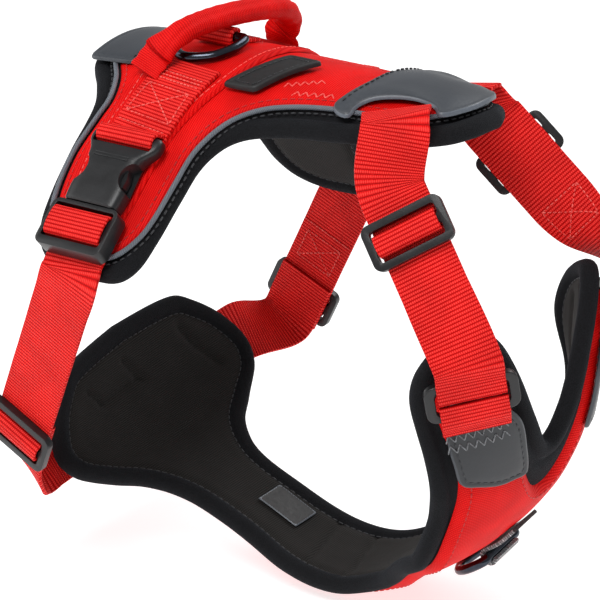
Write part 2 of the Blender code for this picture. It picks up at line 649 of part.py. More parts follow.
def route_of(points, wefts):
    """Stations of a strap, its direction at each point taken from the points beside it."""
    last = len(points) - 1
    return [(p, (points[min(k + 1, last)] - points[max(k - 1, 0)]).normalized(), w)
            for k, (p, w) in enumerate(zip(points, wefts))]


def build_neck_side(side_name, side):
    """Neck strap, slider and chest ring of one side."""
    along, across = NECK_EXIT
    ring_v, ring_w = CHEST_RING_AT
    ring_low = ARM_COVER_LOW + COVER_T + GAP
    here = chest_point(ring_v, side * ring_w, ring_low)
    out = (chest_point(ring_v, side * ring_w, ring_low + 1) - here).normalized()
    down = (chest_point(ring_v - 1, side * (ring_w - 0.22), ring_low) - here).normalized()
    ring = frame_matrix(here, down, out)
    width, height, thick = CHEST_RING
    hole = rounded_rectangle(WEB + 1.5, height - 6.0, 1.0, 2)
    plate(f"{side_name}_chest_ring", rounded_rectangle(width, height, 3.0, 3), [hole], 0, thick,
          ring, BLACK_PLASTIC)
    weft = ring.to_3x3() @ Vector((1, 0, 0))
    if weft.x < 0:
        weft = -weft
    over = thick + GAP + WEB_T / 2
    end = ring @ Vector((0, -15, over + 1.0))
    slider = Vector(NECK_SLIDERS[side > 0])
    slider.y *= side
    ahead = (end - slider).normalized()
    mid_weft = Vector(NECK_WEFTS[side > 0])
    mid_weft = (mid_weft - ahead * mid_weft.dot(ahead)).normalized()
    exit_weft = Vector((0.933, -0.335 * side, 0.13))
    top_weft = Vector((0.88, -0.3 * side, 0.32))
    low = SADDLE_LOW + WEB_T / 2
    points = [on_back(side, along, across, low + 0.7), on_back(side, along + 6.0, across + 9.5, low + 3.0),
              slider - ahead * 15, slider + ahead * 23, end, ring @ Vector((0, -7, over + 0.2)),
              ring @ Vector((0, -0.6, over + 0.1))]
    wefts = [exit_weft, top_weft, mid_weft, mid_weft, weft, weft, weft]
    stations = route_of(points, wefts)
    stations[1] = (points[1], (points[1] - points[0]).normalized(), top_weft)
    stations[2] = (points[2], ahead, mid_weft)
    stations[3] = (points[3], ahead, mid_weft)
    strap(f"{side_name}_neck_strap", stations, RED, steps=4)
    build_slider(f"{side_name}_neck_slider", strap_frame(slider, ahead, mid_weft, side))
    keeper = [ring @ Vector((0, y, z)) for y, z in
              ((0.6, over + 0.1), (height / 2 + 0.8, over + 0.2),
               (height / 2 + 3.4, over - 1.3), (height / 2 + 6.5, 1.3))]
    strap(f"{side_name}_ring_keeper", route_of(keeper, [weft] * 4), RED, steps=2)


# ---------------------------------------------------------------- chest plate

def build_chest():
    cut_sheet("chest_lining_pad", chest_point, CHEST_PAD, -PAD_T, 0, BLACK_MESH, 8)
    cut_sheet("chest_shell", chest_point, CHEST_SHELL, CHEST_LOW, CHEST_LOW + SHELL_T, RED, 8)
    for side_name, side in SIDES:
        cut_sheet(f"{side_name}_arm_cover", chest_point, ARM_COVER, ARM_COVER_LOW,
                  ARM_COVER_LOW + COVER_T, SLATE, 7, mirrored=False, side=side, steps=1)
    v, tilt, half = FRONT_RING
    here = chest_point(v, 0, ARM_COVER_LOW)
    out = chest_point(v, 0, ARM_COVER_LOW + 1) - here
    place = frame_matrix(here, chest_point(v - 1, 0, ARM_COVER_LOW) - here, out)
    build_ring("front_leash_ring", "front_ring_keeper", place, tilt, half, SILVER_WEB)
    tag = [(108, -3), (108, 11), (127, 11), (127, -3)]
    sheet_from_outline("size_tag", chest_point, [Vector(p) for p in tag], -PAD_T - GAP - 0.5,
                       -PAD_T - GAP, BLACK_PLASTIC, 6)


SIDES = (("right", -1), ("left", 1))


def main():
    for old in list(bpy.data.objects):
        bpy.data.objects.remove(old, do_unlink=True)
    build_back()
    build_handle()
    x, s, tilt, half = BACK_RING
    here = back_point(x, s, TRIM_LOW)
    out = back_point(x, s, TRIM_LOW + 1) - here
    build_ring("back_leash_ring", "back_ring_keeper",
               frame_matrix(here, back_point(x, s - 1, TRIM_LOW) - here, out), tilt, half, RED)
    for side_name, side in SIDES:
        build_girth_side(side_name, side)
        build_neck_side(side_name, side)
    build_chest()


main()
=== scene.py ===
import math

import bmesh
import bpy
import numpy as np
from mathutils import Matrix, Vector
from mathutils.geometry import delaunay_2d_cdt


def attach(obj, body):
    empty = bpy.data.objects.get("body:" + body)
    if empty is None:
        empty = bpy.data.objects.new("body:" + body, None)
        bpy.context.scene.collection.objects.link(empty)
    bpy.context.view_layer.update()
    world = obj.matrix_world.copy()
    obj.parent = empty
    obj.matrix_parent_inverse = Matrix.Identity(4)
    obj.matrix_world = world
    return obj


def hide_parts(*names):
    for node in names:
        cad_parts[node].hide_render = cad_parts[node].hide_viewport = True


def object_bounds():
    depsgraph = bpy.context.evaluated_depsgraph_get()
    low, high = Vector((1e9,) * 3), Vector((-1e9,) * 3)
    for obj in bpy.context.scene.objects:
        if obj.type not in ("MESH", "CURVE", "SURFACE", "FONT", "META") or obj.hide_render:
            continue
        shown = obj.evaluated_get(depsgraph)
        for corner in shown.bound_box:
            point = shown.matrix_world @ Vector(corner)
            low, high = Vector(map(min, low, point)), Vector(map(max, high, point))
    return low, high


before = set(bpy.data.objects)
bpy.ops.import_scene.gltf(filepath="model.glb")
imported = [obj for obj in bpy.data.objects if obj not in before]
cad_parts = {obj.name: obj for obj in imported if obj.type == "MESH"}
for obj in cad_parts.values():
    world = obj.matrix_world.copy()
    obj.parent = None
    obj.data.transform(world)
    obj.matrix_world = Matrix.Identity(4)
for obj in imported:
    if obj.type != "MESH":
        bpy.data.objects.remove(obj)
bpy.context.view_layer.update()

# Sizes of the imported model, in mm. Pieces are modelled in mm and scaled when they are made.
MM = 0.001
GAP = 0.3
WEB, WEB_T = 25.0, 1.5
PAD_T, SHELL_T, COVER_T = 7.0, 1.3, 1.6
RIDGE_RADIUS, FLANK_ANGLE = 65.0, math.radians(48)
RIDGE_CREST, RIDGE_SAG, BACK_ROLL, NOSE_SKEW = 1.8, 0.0005, math.radians(-6), 0.38

SPINE = [(-96, -112), (-85, -139.5), (-70, -160.5), (-47, -174.5), (-22, -187), (3, -198), (28, -200.5),
         (51, -191), (67, -177.5), (84, -166), (99.5, -145.5), (109, -118), (113.5, -90), (117, -63)]
RIB_CURL = [(0, 0.0015), (62, 0.0019), (115, 0.0023), (194, 0.0024), (222, 0.0029),
            (262, 0.0063), (306, 0.0091), (342, 0.0091)]
CHEST_ROLL = [(0, 9.0), (62, 5.5), (135, 1.8), (222, 6.5), (342, 4.0)]
CHEST_SWAY = [(0, -4.2), (62, -8.0), (135, -2.5), (222, 1.5), (342, 1.8)]
CHEST_TURN = [(0, 0.041), (62, 0.079), (135, 0.058), (222, 0.058), (342, 0.092)]
ROLL_CENTRE_Z = -140.0

BACK_PAD = [(-88, 0), (-86, 14), (-81, 27), (-72, 39), (-67, 50), (-67, 68), (-66, 86),
            (-63, 101), (-56, 111), (-45, 116), (-32, 117), (-21, 116), (-15, 109), (-13, 97),
            (-12, 80), (-10, 63), (-1, 51), (15, 45), (36, 41), (52, 37), (66, 32), (76, 24),
            (81, 13), (82, 0)]
BACK_SHELL = [(-77, 0), (-75, 12), (-70, 24), (-62, 35), (-58, 46), (-59, 56), (-61, 70),
              (-60, 84), (-57, 95), (-51, 104), (-42, 108), (-32, 109), (-24, 107), (-18.5, 99),
              (-16.5, 90), (-15.5, 76), (-14, 61), (-7, 47), (3, 38), (15, 33), (30, 29.5),
              (46, 27.5), (59, 24), (68, 17), (72, 9), (73, 0)]
SADDLE_PANEL = [(-58, 0), (-58, 12), (-57, 24), (-55, 34), (-54, 46), (-56, 58), (-57, 70),
                (-56, 84), (-53, 94), (-46, 101), (-37, 103), (-30, 101), (-26, 92), (-25, 76),
                (-24, 60), (-20, 46), (-16, 33), (-14, 20), (-13, 0)]
CHEST_PAD = [(9.5, 0), (12, 31), (18, 42), (29.5, 52.5), (44, 58.5), (57.5, 54.5), (68, 42), (77, 29.5),
             (91, 22), (115, 21.6), (135, 23.5), (155, 25), (180, 27.5), (201, 35), (218, 45),
             (235, 49), (253, 50), (273, 54), (293, 60), (309, 63.5), (323.5, 58.5), (333, 47),
             (334, 38.5), (327.5, 30.5), (313, 21.7), (295.5, 13), (281.5, 5), (278, 0)]
CHEST_SHELL = [(18.5, 0), (21, 28), (27, 39), (36, 46.5), (46, 49), (54, 45), (62, 35), (71, 22), (88, 13.5),
               (115, 12.5), (150, 15.5), (180, 19), (201, 28.5), (220, 38), (240, 42), (258, 42.5),
               (272, 43.5), (284, 46.5), (296, 51), (307, 54), (318, 50), (324, 43), (322, 38),
               (311, 31), (299, 24), (286, 19.5), (274, 15.5), (265, 10), (260, 5), (258.5, 0)]
REAR_COVER = (-81.0, -59.0, 29.0)
PATCH = (1.0, 15.6, -34.0, -8.5, 0.5, 1.8)
SIZE_TAG = [(108, -3), (108, 11), (127, 11), (127, -3)]
FRONT_COVER = [(33, 0), (33, 12), (31, 23), (30, 30), (33, 34), (38, 35), (39.4, 33), (39.2, 29),
               (43, 24.6), (49, 21.4), (54, 19.5), (60, 18.3), (64.5, 18.8), (66.6, 20.2), (68.2, 22.2),
               (70.3, 21.6), (73, 18.5), (76, 12.7), (77, 7), (76.5, 0)]
ARM_COVER = [(276.5, 18.5), (274.5, 24), (273.5, 30), (274.5, 38), (276, 44.5), (283, 47), (291, 49),
             (303, 50.5), (310, 48), (312, 41), (307, 31), (300, 24), (289, 21)]

BUCKLE_TOP = (-37.0, 62.5)
NECK_EXIT = (53.7, 25.6)
NECK_SLIDERS = ((68.5, 40.0, -38.0), (67.5, 38.0, -30.5))
NECK_WEFTS = ((0.79, 0.38, 0.40), (0.78, 0.50, 0.34))
CHEST_RING_AT = (314.0, 43.0)
GIRTH_SLIDER = (-68.0, 86.0, -132.0)
BELLY_TAB = (41.0, 46.0)
SIDE_TURN = 0.06
HANDLE_AT, HANDLE_SKEW = -43.0, 0.15
HANDLE_FOOT, HANDLE_RISE, HANDLE_LEAN = 32.0, 16.3, 11.0
BACK_RING = (-38.0, -6.0, -11.0, 12.0)
FRONT_RING = (222.5, 4.0, 11.5)
SLIDER, SLIDER_BAR = (31.5, 17.5, 3.0), 2.8
CHEST_RING = (34.0, 15.0, 3.0)
RING_WIRE = 3.8
SOCKET_LENGTH, SOCKET_WIDTH, SOCKET_THICK, SOCKET_WALL = 32.0, 23.0, 9.0, 1.7
PLUG_FRAME = (29.0, 19.0, 7.0)

SHELL_LOW = GAP
SADDLE_LOW = SHELL_LOW + SHELL_T + GAP
TRIM_LOW = SADDLE_LOW + SHELL_T + GAP
SOCKET_LOW = TRIM_LOW + 0.1
CHEST_LOW = 4 * GAP
ARM_COVER_LOW = CHEST_LOW + SHELL_T + 2 * GAP
SIDES = (("right", -1), ("left", 1))
BACK_ZIGZAGS = (((5, 25), (18, 17.5)), ((11, 28.5), (27, 25)))

# The stage, in metres and watts.
FLOOR_DROP, FLOOR_HALF = 0.0015, 6
WORLD_STRENGTH = 0.36
LIGHT_TARGET = (0, 0, -0.09)
LIGHTS = (("key", (0.15, -0.75, 1.0), 0.6, 10.5), ("left_fill", (-1.0, -0.6, 0.4), 0.8, 4),
          ("back_light", (0.3, 0.9, 0.9), 0.7, 8))
CAMERA_AT, CAMERA_AIM, CAMERA_LENS = (0.5653, -0.8455, 0.3191), (-0.005, 0, -0.093), 172.9


# ---------------------------------------------------------------- curves and surfaces

def catmull(points, steps, closed=False):
    """A Catmull-Rom curve through the points, as an array."""
    pts = np.array(points, float)
    count = len(pts)
    curve = []
    for i in range(count if closed else count - 1):
        if closed:
            p0, p1, p2, p3 = (pts[(i + k - 1) % count] for k in range(4))
        else:
            p0, p1, p2, p3 = (pts[min(max(i + k - 1, 0), count - 1)] for k in range(4))
        for j in range(steps):
            t = j / steps
            curve.append(0.5 * (2 * p1 + (p2 - p0) * t + (2 * p0 - 5 * p1 + 4 * p2 - p3) * t ** 2
                                + (3 * p1 - p0 - 3 * p2 + p3) * t ** 3))
    if not closed:
        curve.append(pts[-1])
    return np.array(curve)


SPINE_CURVE = catmull(SPINE, 12)
SPINE_LENGTHS = np.r_[0, np.cumsum(np.hypot(*np.diff(SPINE_CURVE, axis=0).T))]
SPINE_TANGENTS = np.gradient(SPINE_CURVE, axis=0)
SPINE_TANGENTS /= np.linalg.norm(SPINE_TANGENTS, axis=1)[:, None]


def table_value(table, at):
    """Smooth values of a table of (position, value) pairs."""
    places = np.array([p for p, _ in table], float)
    values = np.array([v for _, v in table], float)
    i = np.clip(np.searchsorted(places, at, side="right") - 1, 0, len(places) - 2)
    t = np.clip((at - places[i]) / (places[i + 1] - places[i]), 0, 1)
    return values[i] + (values[i + 1] - values[i]) * t * t * (3 - 2 * t)


def chest(v, w, h):
    """Points of the chest plate: v along its spine, w to the left, h outwards from its pad."""
    v, w, h = np.broadcast_arrays(*(np.asarray(a, float) for a in (v, w, h)))
    v = np.clip(v, 0, SPINE_LENGTHS[-1] - 0.01)
    x, z, tx, tz = (np.interp(v, SPINE_LENGTHS, column) for column in
                    (SPINE_CURVE[:, 0], SPINE_CURVE[:, 1], SPINE_TANGENTS[:, 0], SPINE_TANGENTS[:, 1]))
    size = np.hypot(tx, tz)
    tx, tz = tx / size, tz / size
    radius = 1 / (2 * table_value(RIB_CURL, v))
    angle = w / radius
    inset = radius * (1 - np.cos(angle)) - h * np.cos(angle)
    x, z = x - tz * inset, z + tx * inset
    y = (radius + h) * np.sin(angle) + table_value(CHEST_SWAY, v)
    roll = np.radians(table_value(CHEST_ROLL, v))
    drop = z - ROLL_CENTRE_Z
    y, z = y * np.cos(roll) - drop * np.sin(roll), y * np.sin(roll) + drop * np.cos(roll)
    return np.stack([x + table_value(CHEST_TURN, v) * y, y, z + ROLL_CENTRE_Z], -1)


def back(x, s, h):
    """Points of the back panel: x along its ridge, s to the left over its surface, h outwards."""
    x, s, h = np.broadcast_arrays(*(np.asarray(a, float) for a in (x, s, h)))
    arc = np.minimum(abs(s), RIDGE_RADIUS * FLANK_ANGLE)
    angle = arc / RIDGE_RADIUS
    flank = abs(s) - arc
    y = (RIDGE_RADIUS + h) * np.sin(angle) + flank * np.cos(angle)
    z = -RIDGE_RADIUS * (1 - np.cos(angle)) - flank * np.sin(angle) + h * np.cos(angle)
    z = z + RIDGE_CREST - RIDGE_SAG * x * x
    y = y * np.where(s >= 0, 1, -1)
    front = np.clip((x - 38) / 35, 0, 1)
    x = x - NOSE_SKEW * np.maximum(s, 0) * front * front * (3 - 2 * front)
    return np.stack([x, y * np.cos(BACK_ROLL) - z * np.sin(BACK_ROLL),
                     y * np.sin(BACK_ROLL) + z * np.cos(BACK_ROLL)], -1)


def chest_point(v, w, h=0.0):
    return Vector(chest(v, w, h))


def back_point(x, s, h=0.0):
    return Vector(back(x, s, h))


def ripple(x, y, scale, seed=0.0):
    """Smooth unevenness between about -1 and 1."""
    x, y = x / scale + seed, y / scale - seed
    return (np.sin(1.7 * x + 1.3 * np.sin(1.1 * y)) + np.sin(2.1 * y + 1.7 * np.sin(0.9 * x))
            + 0.6 * np.sin(3.7 * (x + y))) / 2.6


def frame_matrix(origin, y_axis, z_axis):
    """A frame with this origin and Y axis, and its Z axis near the one given."""
    y_axis = y_axis.normalized()
    x_axis = y_axis.cross(z_axis).normalized()
    turn = Matrix((x_axis, y_axis, x_axis.cross(y_axis))).transposed().to_4x4()
    return Matrix.Translation(origin) @ turn


# ---------------------------------------------------------------- materials

class Look:
    """A procedural material: short names for the nodes that it is made of."""

    def __init__(self, name, colour, roughness, **sockets):
        self.made = bpy.data.materials.new(name)
        self.made.use_nodes = True
        self.tree = self.made.node_tree
        self.shader = self.tree.nodes["Principled BSDF"]
        self.shader.inputs["Base Color"].default_value = (*colour, 1)
        self.shader.inputs["Roughness"].default_value = roughness
        for key, value in sockets.items():
            self.shader.inputs[key.replace("_", " ")].default_value = value
        self.made.diffuse_color = (*colour, 1)

    def node(self, kind, *links, **settings):
        made = self.tree.nodes.new("ShaderNode" + kind)
        for key, value in settings.items():
            setattr(made, key, value)
        for socket, value in links:
            if isinstance(value, bpy.types.NodeSocket):
                self.tree.links.new(value, made.inputs[socket])
            else:
                made.inputs[socket].default_value = value
        return made

    def math(self, operation, *values):
        return self.node("Math", *enumerate(values), operation=operation).outputs[0]

    def uv(self):
        split = self.node("SeparateXYZ", (0, self.node("UVMap").outputs[0]))
        return split.outputs[0], split.outputs[1]

    def noise(self, scale, detail=3.0, roughness=0.55, stretch=None):
        where = self.node("TexCoord").outputs["Object"]
        if stretch:
            where = self.node("Mapping", ("Vector", where), ("Scale", stretch)).outputs[0]
        return self.node("TexNoise", ("Vector", where), ("Scale", scale), ("Detail", detail),
                         ("Roughness", roughness)).outputs[0]

    def ramp(self, value, *stops):
        made = self.node("ValToRGB", (0, value))
        elements = made.color_ramp.elements
        while len(elements) < len(stops):
            elements.new(0.5)
        for element, (place, colour) in zip(elements, stops):
            element.position = place
            element.color = (*colour, 1)
        return made.outputs[0]

    def mix(self, factor, a, b, blend="MIX"):
        made = self.node("Mix", (0, factor), (6, a), (7, b), data_type="RGBA", blend_type=blend)
        return made.outputs[2]

    def set(self, socket, value):
        self.tree.links.new(value, self.shader.inputs[socket])

    def tint(self, value, *stops):
        self.set("Base Color", self.ramp(value, *stops))

    def gloss(self, value, change, base):
        self.set("Roughness", self.math("MULTIPLY_ADD", value, change, base))

    def bump(self, height, distance, strength=1.0):
        previous = self.shader.inputs["Normal"]
        made = self.node("Bump", ("Height", height), ("Distance", distance * MM),
                         ("Strength", strength))
        if previous.is_linked:
            self.tree.links.new(previous.links[0].from_socket, made.inputs["Normal"])
        self.tree.links.new(made.outputs[0], previous)


BASE_RED = (0.72, 0.003, 0.003)


def weave(look, row, dash, dark, middle, light, depth, sharp=0.7):
    """Rows of short floats across a fabric, each row shifted by half of one. The colour ramp paints shade in
    the gaps and highlights on the float crowns.
    """
    u, v = look.uv()
    rows = look.math("DIVIDE", v, row)
    ridge = look.math("ABSOLUTE", look.math("SINE", look.math("MULTIPLY", rows, math.pi)))
    shift = look.math("MULTIPLY", look.math("FLOOR", rows), 0.5)
    along = look.math("ADD", look.math("DIVIDE", u, dash), shift)
    floats = look.math("ABSOLUTE", look.math("SINE", look.math("MULTIPLY", along, math.pi)))
    height = look.math("MULTIPLY", look.math("POWER", ridge, sharp),
                       look.math("MULTIPLY_ADD", floats, 0.5, 0.5))
    # Painted light: the ramp gives the float crowns a painted highlight (light) and the gaps painted shade
    # (dark).
    colour = look.ramp(height, (0.12, dark), (0.55, middle), (0.97, light))
    # Painted patchy sheen: broad noise makes the whole colour lighter and darker in patches.
    sheen_patches = look.ramp(look.noise(70.0, 2.0), (0.3, (0.86, 0.86, 0.86)), (0.7, (1.08, 1.08, 1.08)))
    look.set("Base Color", look.mix(1.0, colour, sheen_patches, "MULTIPLY"))
    look.gloss(height, -0.16, 0.66)
    look.bump(height, depth)
    return height


def red_webbing():
    look = Look("red_webbing_weave", BASE_RED, 0.6, Specular_IOR_Level=0.12)
    # The pale pink stop is a painted highlight on the float crowns, and the dark stop is painted shade in the
    # gaps.
    weave(look, 1.4, 0.8, (0.36, 0.0005, 0.0008), (0.76, 0.002, 0.002), (0.98, 0.055, 0.045), 0.3)
    return look.made


def red_fabric():
    look = Look("red_shell_weave", BASE_RED, 0.65, Specular_IOR_Level=0.1)
    # The lighter stop is a painted highlight on the crowns, and the darker stop is painted shade in the gaps.
    weave(look, 0.9, 0.75, (0.56, 0.0004, 0.0006), (0.74, 0.0015, 0.0015), (0.84, 0.016, 0.013), 0.11, 1.0)
    look.bump(look.noise(26.0, 3.0), 1.2, 0.5)
    return look.made


def handle_fabric():
    look = Look("red_handle_fabric", BASE_RED, 0.65, Specular_IOR_Level=0.1)
    # The lighter stop is a painted highlight on the crowns, and the darker stop is painted shade in the gaps.
    weave(look, 0.8, 0.8, (0.52, 0.0006, 0.001), (0.76, 0.002, 0.002), (0.84, 0.016, 0.013), 0.14, 1.0)
    look.bump(look.noise(120.0, 3.0, stretch=(1.0, 0.35, 1.0)), 1.6, 0.55)
    return look.made


def pile_fabric():
    look = Look("black_pile_binding", (0.008, 0.008, 0.009), 0.9, Sheen_Weight=0.06,
                Sheen_Roughness=0.4, Specular_IOR_Level=0.15)
    fuzz = look.noise(2600.0, 4.0, 0.7)
    look.tint(fuzz, (0.3, (0.0025, 0.0025, 0.003)), (0.75, (0.016, 0.0165, 0.019)))
    look.shader.inputs["Sheen Tint"].default_value = (0.55, 0.62, 0.75, 1)
    look.bump(look.noise(60.0, 2.0), 1.0, 0.5)
    look.bump(fuzz, 0.35)
    return look.made


def lining_fabric():
    look = Look("charcoal_lining", (0.012, 0.011, 0.0105), 0.85, Sheen_Weight=0.04,
                Sheen_Roughness=0.5, Specular_IOR_Level=0.2)
    # The lighter stop is a painted highlight on the crowns, and the darker stop is painted shade in the gaps.
    height = weave(look, 0.9, 0.9, (0.006, 0.0055, 0.005), (0.0145, 0.013, 0.012),
                   (0.026, 0.0235, 0.022), 0.12, 1.0)
    look.gloss(height, -0.1, 0.9)
    look.bump(look.noise(45.0, 3.0), 1.4, 0.5)
    return look.made


def slate_film(name="slate_film", tint=1.0):
    look = Look(name, (0.06, 0.067, 0.08), 0.4, Coat_Weight=0.1, Coat_Roughness=0.3,
                Specular_IOR_Level=0.5)
    grain = look.noise(900.0, 3.0, 0.6)
    broad = look.noise(38.0, 2.0)
    # tint scales both colours: above 1 gives a copy of the film with painted highlight, below 1 a copy with
    # painted shade.
    a, b = [tuple(tint * c for c in col) for col in ((0.030, 0.035, 0.043), (0.050, 0.057, 0.068))]
    look.tint(look.math("MULTIPLY_ADD", grain, 0.4, look.math("MULTIPLY", broad, 0.6)), (0.35, a), (0.68, b))
    look.gloss(grain, 0.22, 0.34)
    look.bump(grain, 0.06)
    look.bump(broad, 1.0, 0.4)
    return look.made


def piping_look():
    look = Look("slate_piping", (0.22, 0.25, 0.29), 0.4, Sheen_Weight=0.1)
    u, v = look.uv()
    twill = look.math("SINE", look.math("MULTIPLY", look.math("ADD", u, v), math.tau / 0.9))
    look.tint(look.math("MULTIPLY_ADD", twill, 0.5, 0.5),
              (0.0, (0.085, 0.098, 0.118)), (1.0, (0.165, 0.187, 0.22)))
    look.gloss(look.noise(300.0), 0.3, 0.28)
    look.bump(twill, 0.08)
    return look.made


def plastic():
    look = Look("moulded_black_plastic", (0.008, 0.0082, 0.009), 0.34, Specular_IOR_Level=0.5)
    grain = look.noise(1500.0, 2.0)
    scuff = look.noise(90.0, 4.0, 0.7)
    look.tint(scuff, (0.35, (0.0045, 0.0047, 0.0055)), (0.75, (0.010, 0.0105, 0.012)))
    look.gloss(scuff, 0.25, 0.25)
    look.bump(grain, 0.035)
    return look.made


def gunmetal():
    look = Look("gunmetal_plating", (0.07, 0.08, 0.10), 0.18, Metallic=1.0)
    drawn = look.noise(220.0, 4.0, 0.6)
    look.tint(drawn, (0.3, (0.03, 0.036, 0.05)), (0.7, (0.07, 0.078, 0.095)))
    look.gloss(drawn, 0.22, 0.08)
    look.bump(look.noise(900.0), 0.02)
    return look.made


def rubber():
    look = Look("patch_rubber", (0.010, 0.010, 0.011), 0.6, Specular_IOR_Level=0.5)
    grain = look.noise(700.0, 3.0, 0.6)
    look.tint(grain, (0.3, (0.003, 0.003, 0.0035)), (0.75, (0.010, 0.010, 0.011)))
    look.gloss(grain, 0.3, 0.42)
    look.bump(grain, 0.07)
    return look.made


def silver_webbing():
    look = Look("silver_webbing_weave", (0.30, 0.31, 0.32), 0.4, Metallic=0.2)
    # The bright stop is a painted highlight on the crowns, and the near-black stop is painted shade in the
    # gaps.
    height = weave(look, 1.1, 1.3, (0.05, 0.052, 0.055), (0.27, 0.28, 0.29), (0.62, 0.64, 0.66), 0.25)
    speckle = look.ramp(look.noise(1900.0, 2.0), (0.42, (0.25, 0.25, 0.25)), (0.6, (1.15, 1.15, 1.15)))
    colour = look.shader.inputs["Base Color"].links[0].from_socket
    look.set("Base Color", look.mix(1.0, colour, speckle, "MULTIPLY"))
    look.gloss(height, -0.2, 0.5)
    return look.made


def thread(name, dark, light, roughness=0.5):
    look = Look(name, light, roughness, Sheen_Weight=0.1)
    ply = look.noise(1400.0, 2.0)
    look.tint(ply, (0.35, dark), (0.65, light))
    look.gloss(ply, 0.3, roughness - 0.15)
    look.bump(ply, 0.08)
    return look.made


RED_WEB, RED_CLOTH, RED_HANDLE = red_webbing(), red_fabric(), handle_fabric()
# The slate rim material is the film 2.4 times brighter, a painted highlight for lit rims.
PILE, LINING, SLATE, SLATE_HIGHLIT = pile_fabric(), lining_fabric(), slate_film(), slate_film("slate_rim_painted_highlight", 2.4)
# The darker copy of the film, at 0.42, is painted shade for the arm covers.
SLATE_SHADED = slate_film("slate_film_painted_shade", 0.42)
PIPING, PLASTIC, METAL, RUBBER, SILVER = piping_look(), plastic(), gunmetal(), rubber(), silver_webbing()
DARK_THREAD = thread("dark_thread", (0.006, 0.006, 0.008), (0.03, 0.032, 0.038))
RED_THREAD = thread("red_thread", (0.70, 0.004, 0.004), (1.0, 0.16, 0.13), 0.45)
DEEP_RED_THREAD = thread("deep_red_thread", (0.38, 0.001, 0.001), (0.58, 0.003, 0.003), 0.6)
GREY_THREAD = thread("grey_thread", (0.06, 0.062, 0.068), (0.22, 0.23, 0.245))


# ---------------------------------------------------------------- pieces

def make(name, points, faces, looks, body, slot, nodes=(), uv=None, index=None, smooth=40):
    """A piece from points in mm. uv has one (u, v) for each point, or is left out."""
    mesh = bpy.data.meshes.new(name)
    mesh.from_pydata([tuple(p) for p in np.asarray(points, float) * MM], [],
                     [list(map(int, f)) for f in faces])
    if uv is not None:
        layer = mesh.uv_layers.new(name="UVMap")
        corner = np.zeros(len(mesh.loops), int)
        mesh.loops.foreach_get("vertex_index", corner)
        layer.data.foreach_set("uv", np.asarray(uv, float)[corner].astype(np.float32).ravel())
    for look in looks:
        mesh.materials.append(look)
    if index is not None:
        mesh.polygons.foreach_set("material_index", np.asarray(index, int))
    return place_piece(name, mesh, body, slot, nodes, smooth)


def face_outwards(mesh):
    bm = bmesh.new()
    bm.from_mesh(mesh)
    bmesh.ops.recalc_face_normals(bm, faces=bm.faces)
    bm.to_mesh(mesh)
    bm.free()


def place_piece(name, mesh, body, slot, nodes=(), smooth=40):
    face_outwards(mesh)
    mesh.shade_smooth()
    if smooth:
        mesh.set_sharp_from_angle(angle=math.radians(smooth))
    made = bpy.data.objects.new(name, mesh)
    bpy.context.scene.collection.objects.link(made)
    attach(made, body)
    if nodes:
        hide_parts(*nodes)
    return made


def edge_distance(points, outline):
    """Distance of each point from a closed outline."""
    a, b = outline, np.roll(outline, -1, 0)
    along = b - a
    size = np.maximum((along ** 2).sum(1), 1e-9)
    best = []
    for start in range(0, len(points), 1500):
        p = points[start:start + 1500, None]
        t = np.clip(((p - a) * along).sum(2) / size, 0, 1)
        best.append(np.sqrt((((a + along * t[..., None]) - p) ** 2).sum(2)).min(1))
    return np.concatenate(best)


def is_inside(points, outline):
    x, y = points[:, 0, None], points[:, 1, None]
    (ax, ay), (bx, by) = outline.T, np.roll(outline, -1, 0).T
    with np.errstate(divide="ignore", invalid="ignore"):
        cross = ((ay > y) != (by > y)) & (x < ax + (y - ay) * (bx - ax) / (by - ay))
    return cross.sum(1) % 2 == 1


def resample(curve, spacing, closed=True):
    curve = np.asarray(curve, float)
    ring = np.vstack([curve, curve[:1]]) if closed else curve
    lengths = np.r_[0, np.cumsum(np.linalg.norm(np.diff(ring, axis=0), axis=1))]
    count = max(int(round(lengths[-1] / spacing)), 2)
    at = np.linspace(0, lengths[-1], count + 1)[:count if closed else count + 1]
    return np.stack([np.interp(at, lengths, ring[:, k]) for k in range(ring.shape[1])], -1)


def mirrored(half, steps=6):
    """A closed outline from the half of it on the left side."""
    curve = catmull(half, steps)
    return np.vstack([curve, curve[-2:0:-1] * (1, -1)])


def moved_in(outline, distance):
    """The outline moved inwards, without the points that end up too near to it."""
    ahead = np.roll(outline, -1, 0) - np.roll(outline, 1, 0)
    ahead /= np.linalg.norm(ahead, axis=1)[:, None]
    x, y = outline.T
    area = 0.5 * np.sum(x * np.roll(y, -1) - y * np.roll(x, -1))
    normal = np.stack([-ahead[:, 1], ahead[:, 0]], -1) * (1 if area > 0 else -1)
    shifted = outline + normal * distance
    if distance > 0:
        shifted = shifted[edge_distance(shifted, outline) > distance - 0.12]
    return shifted


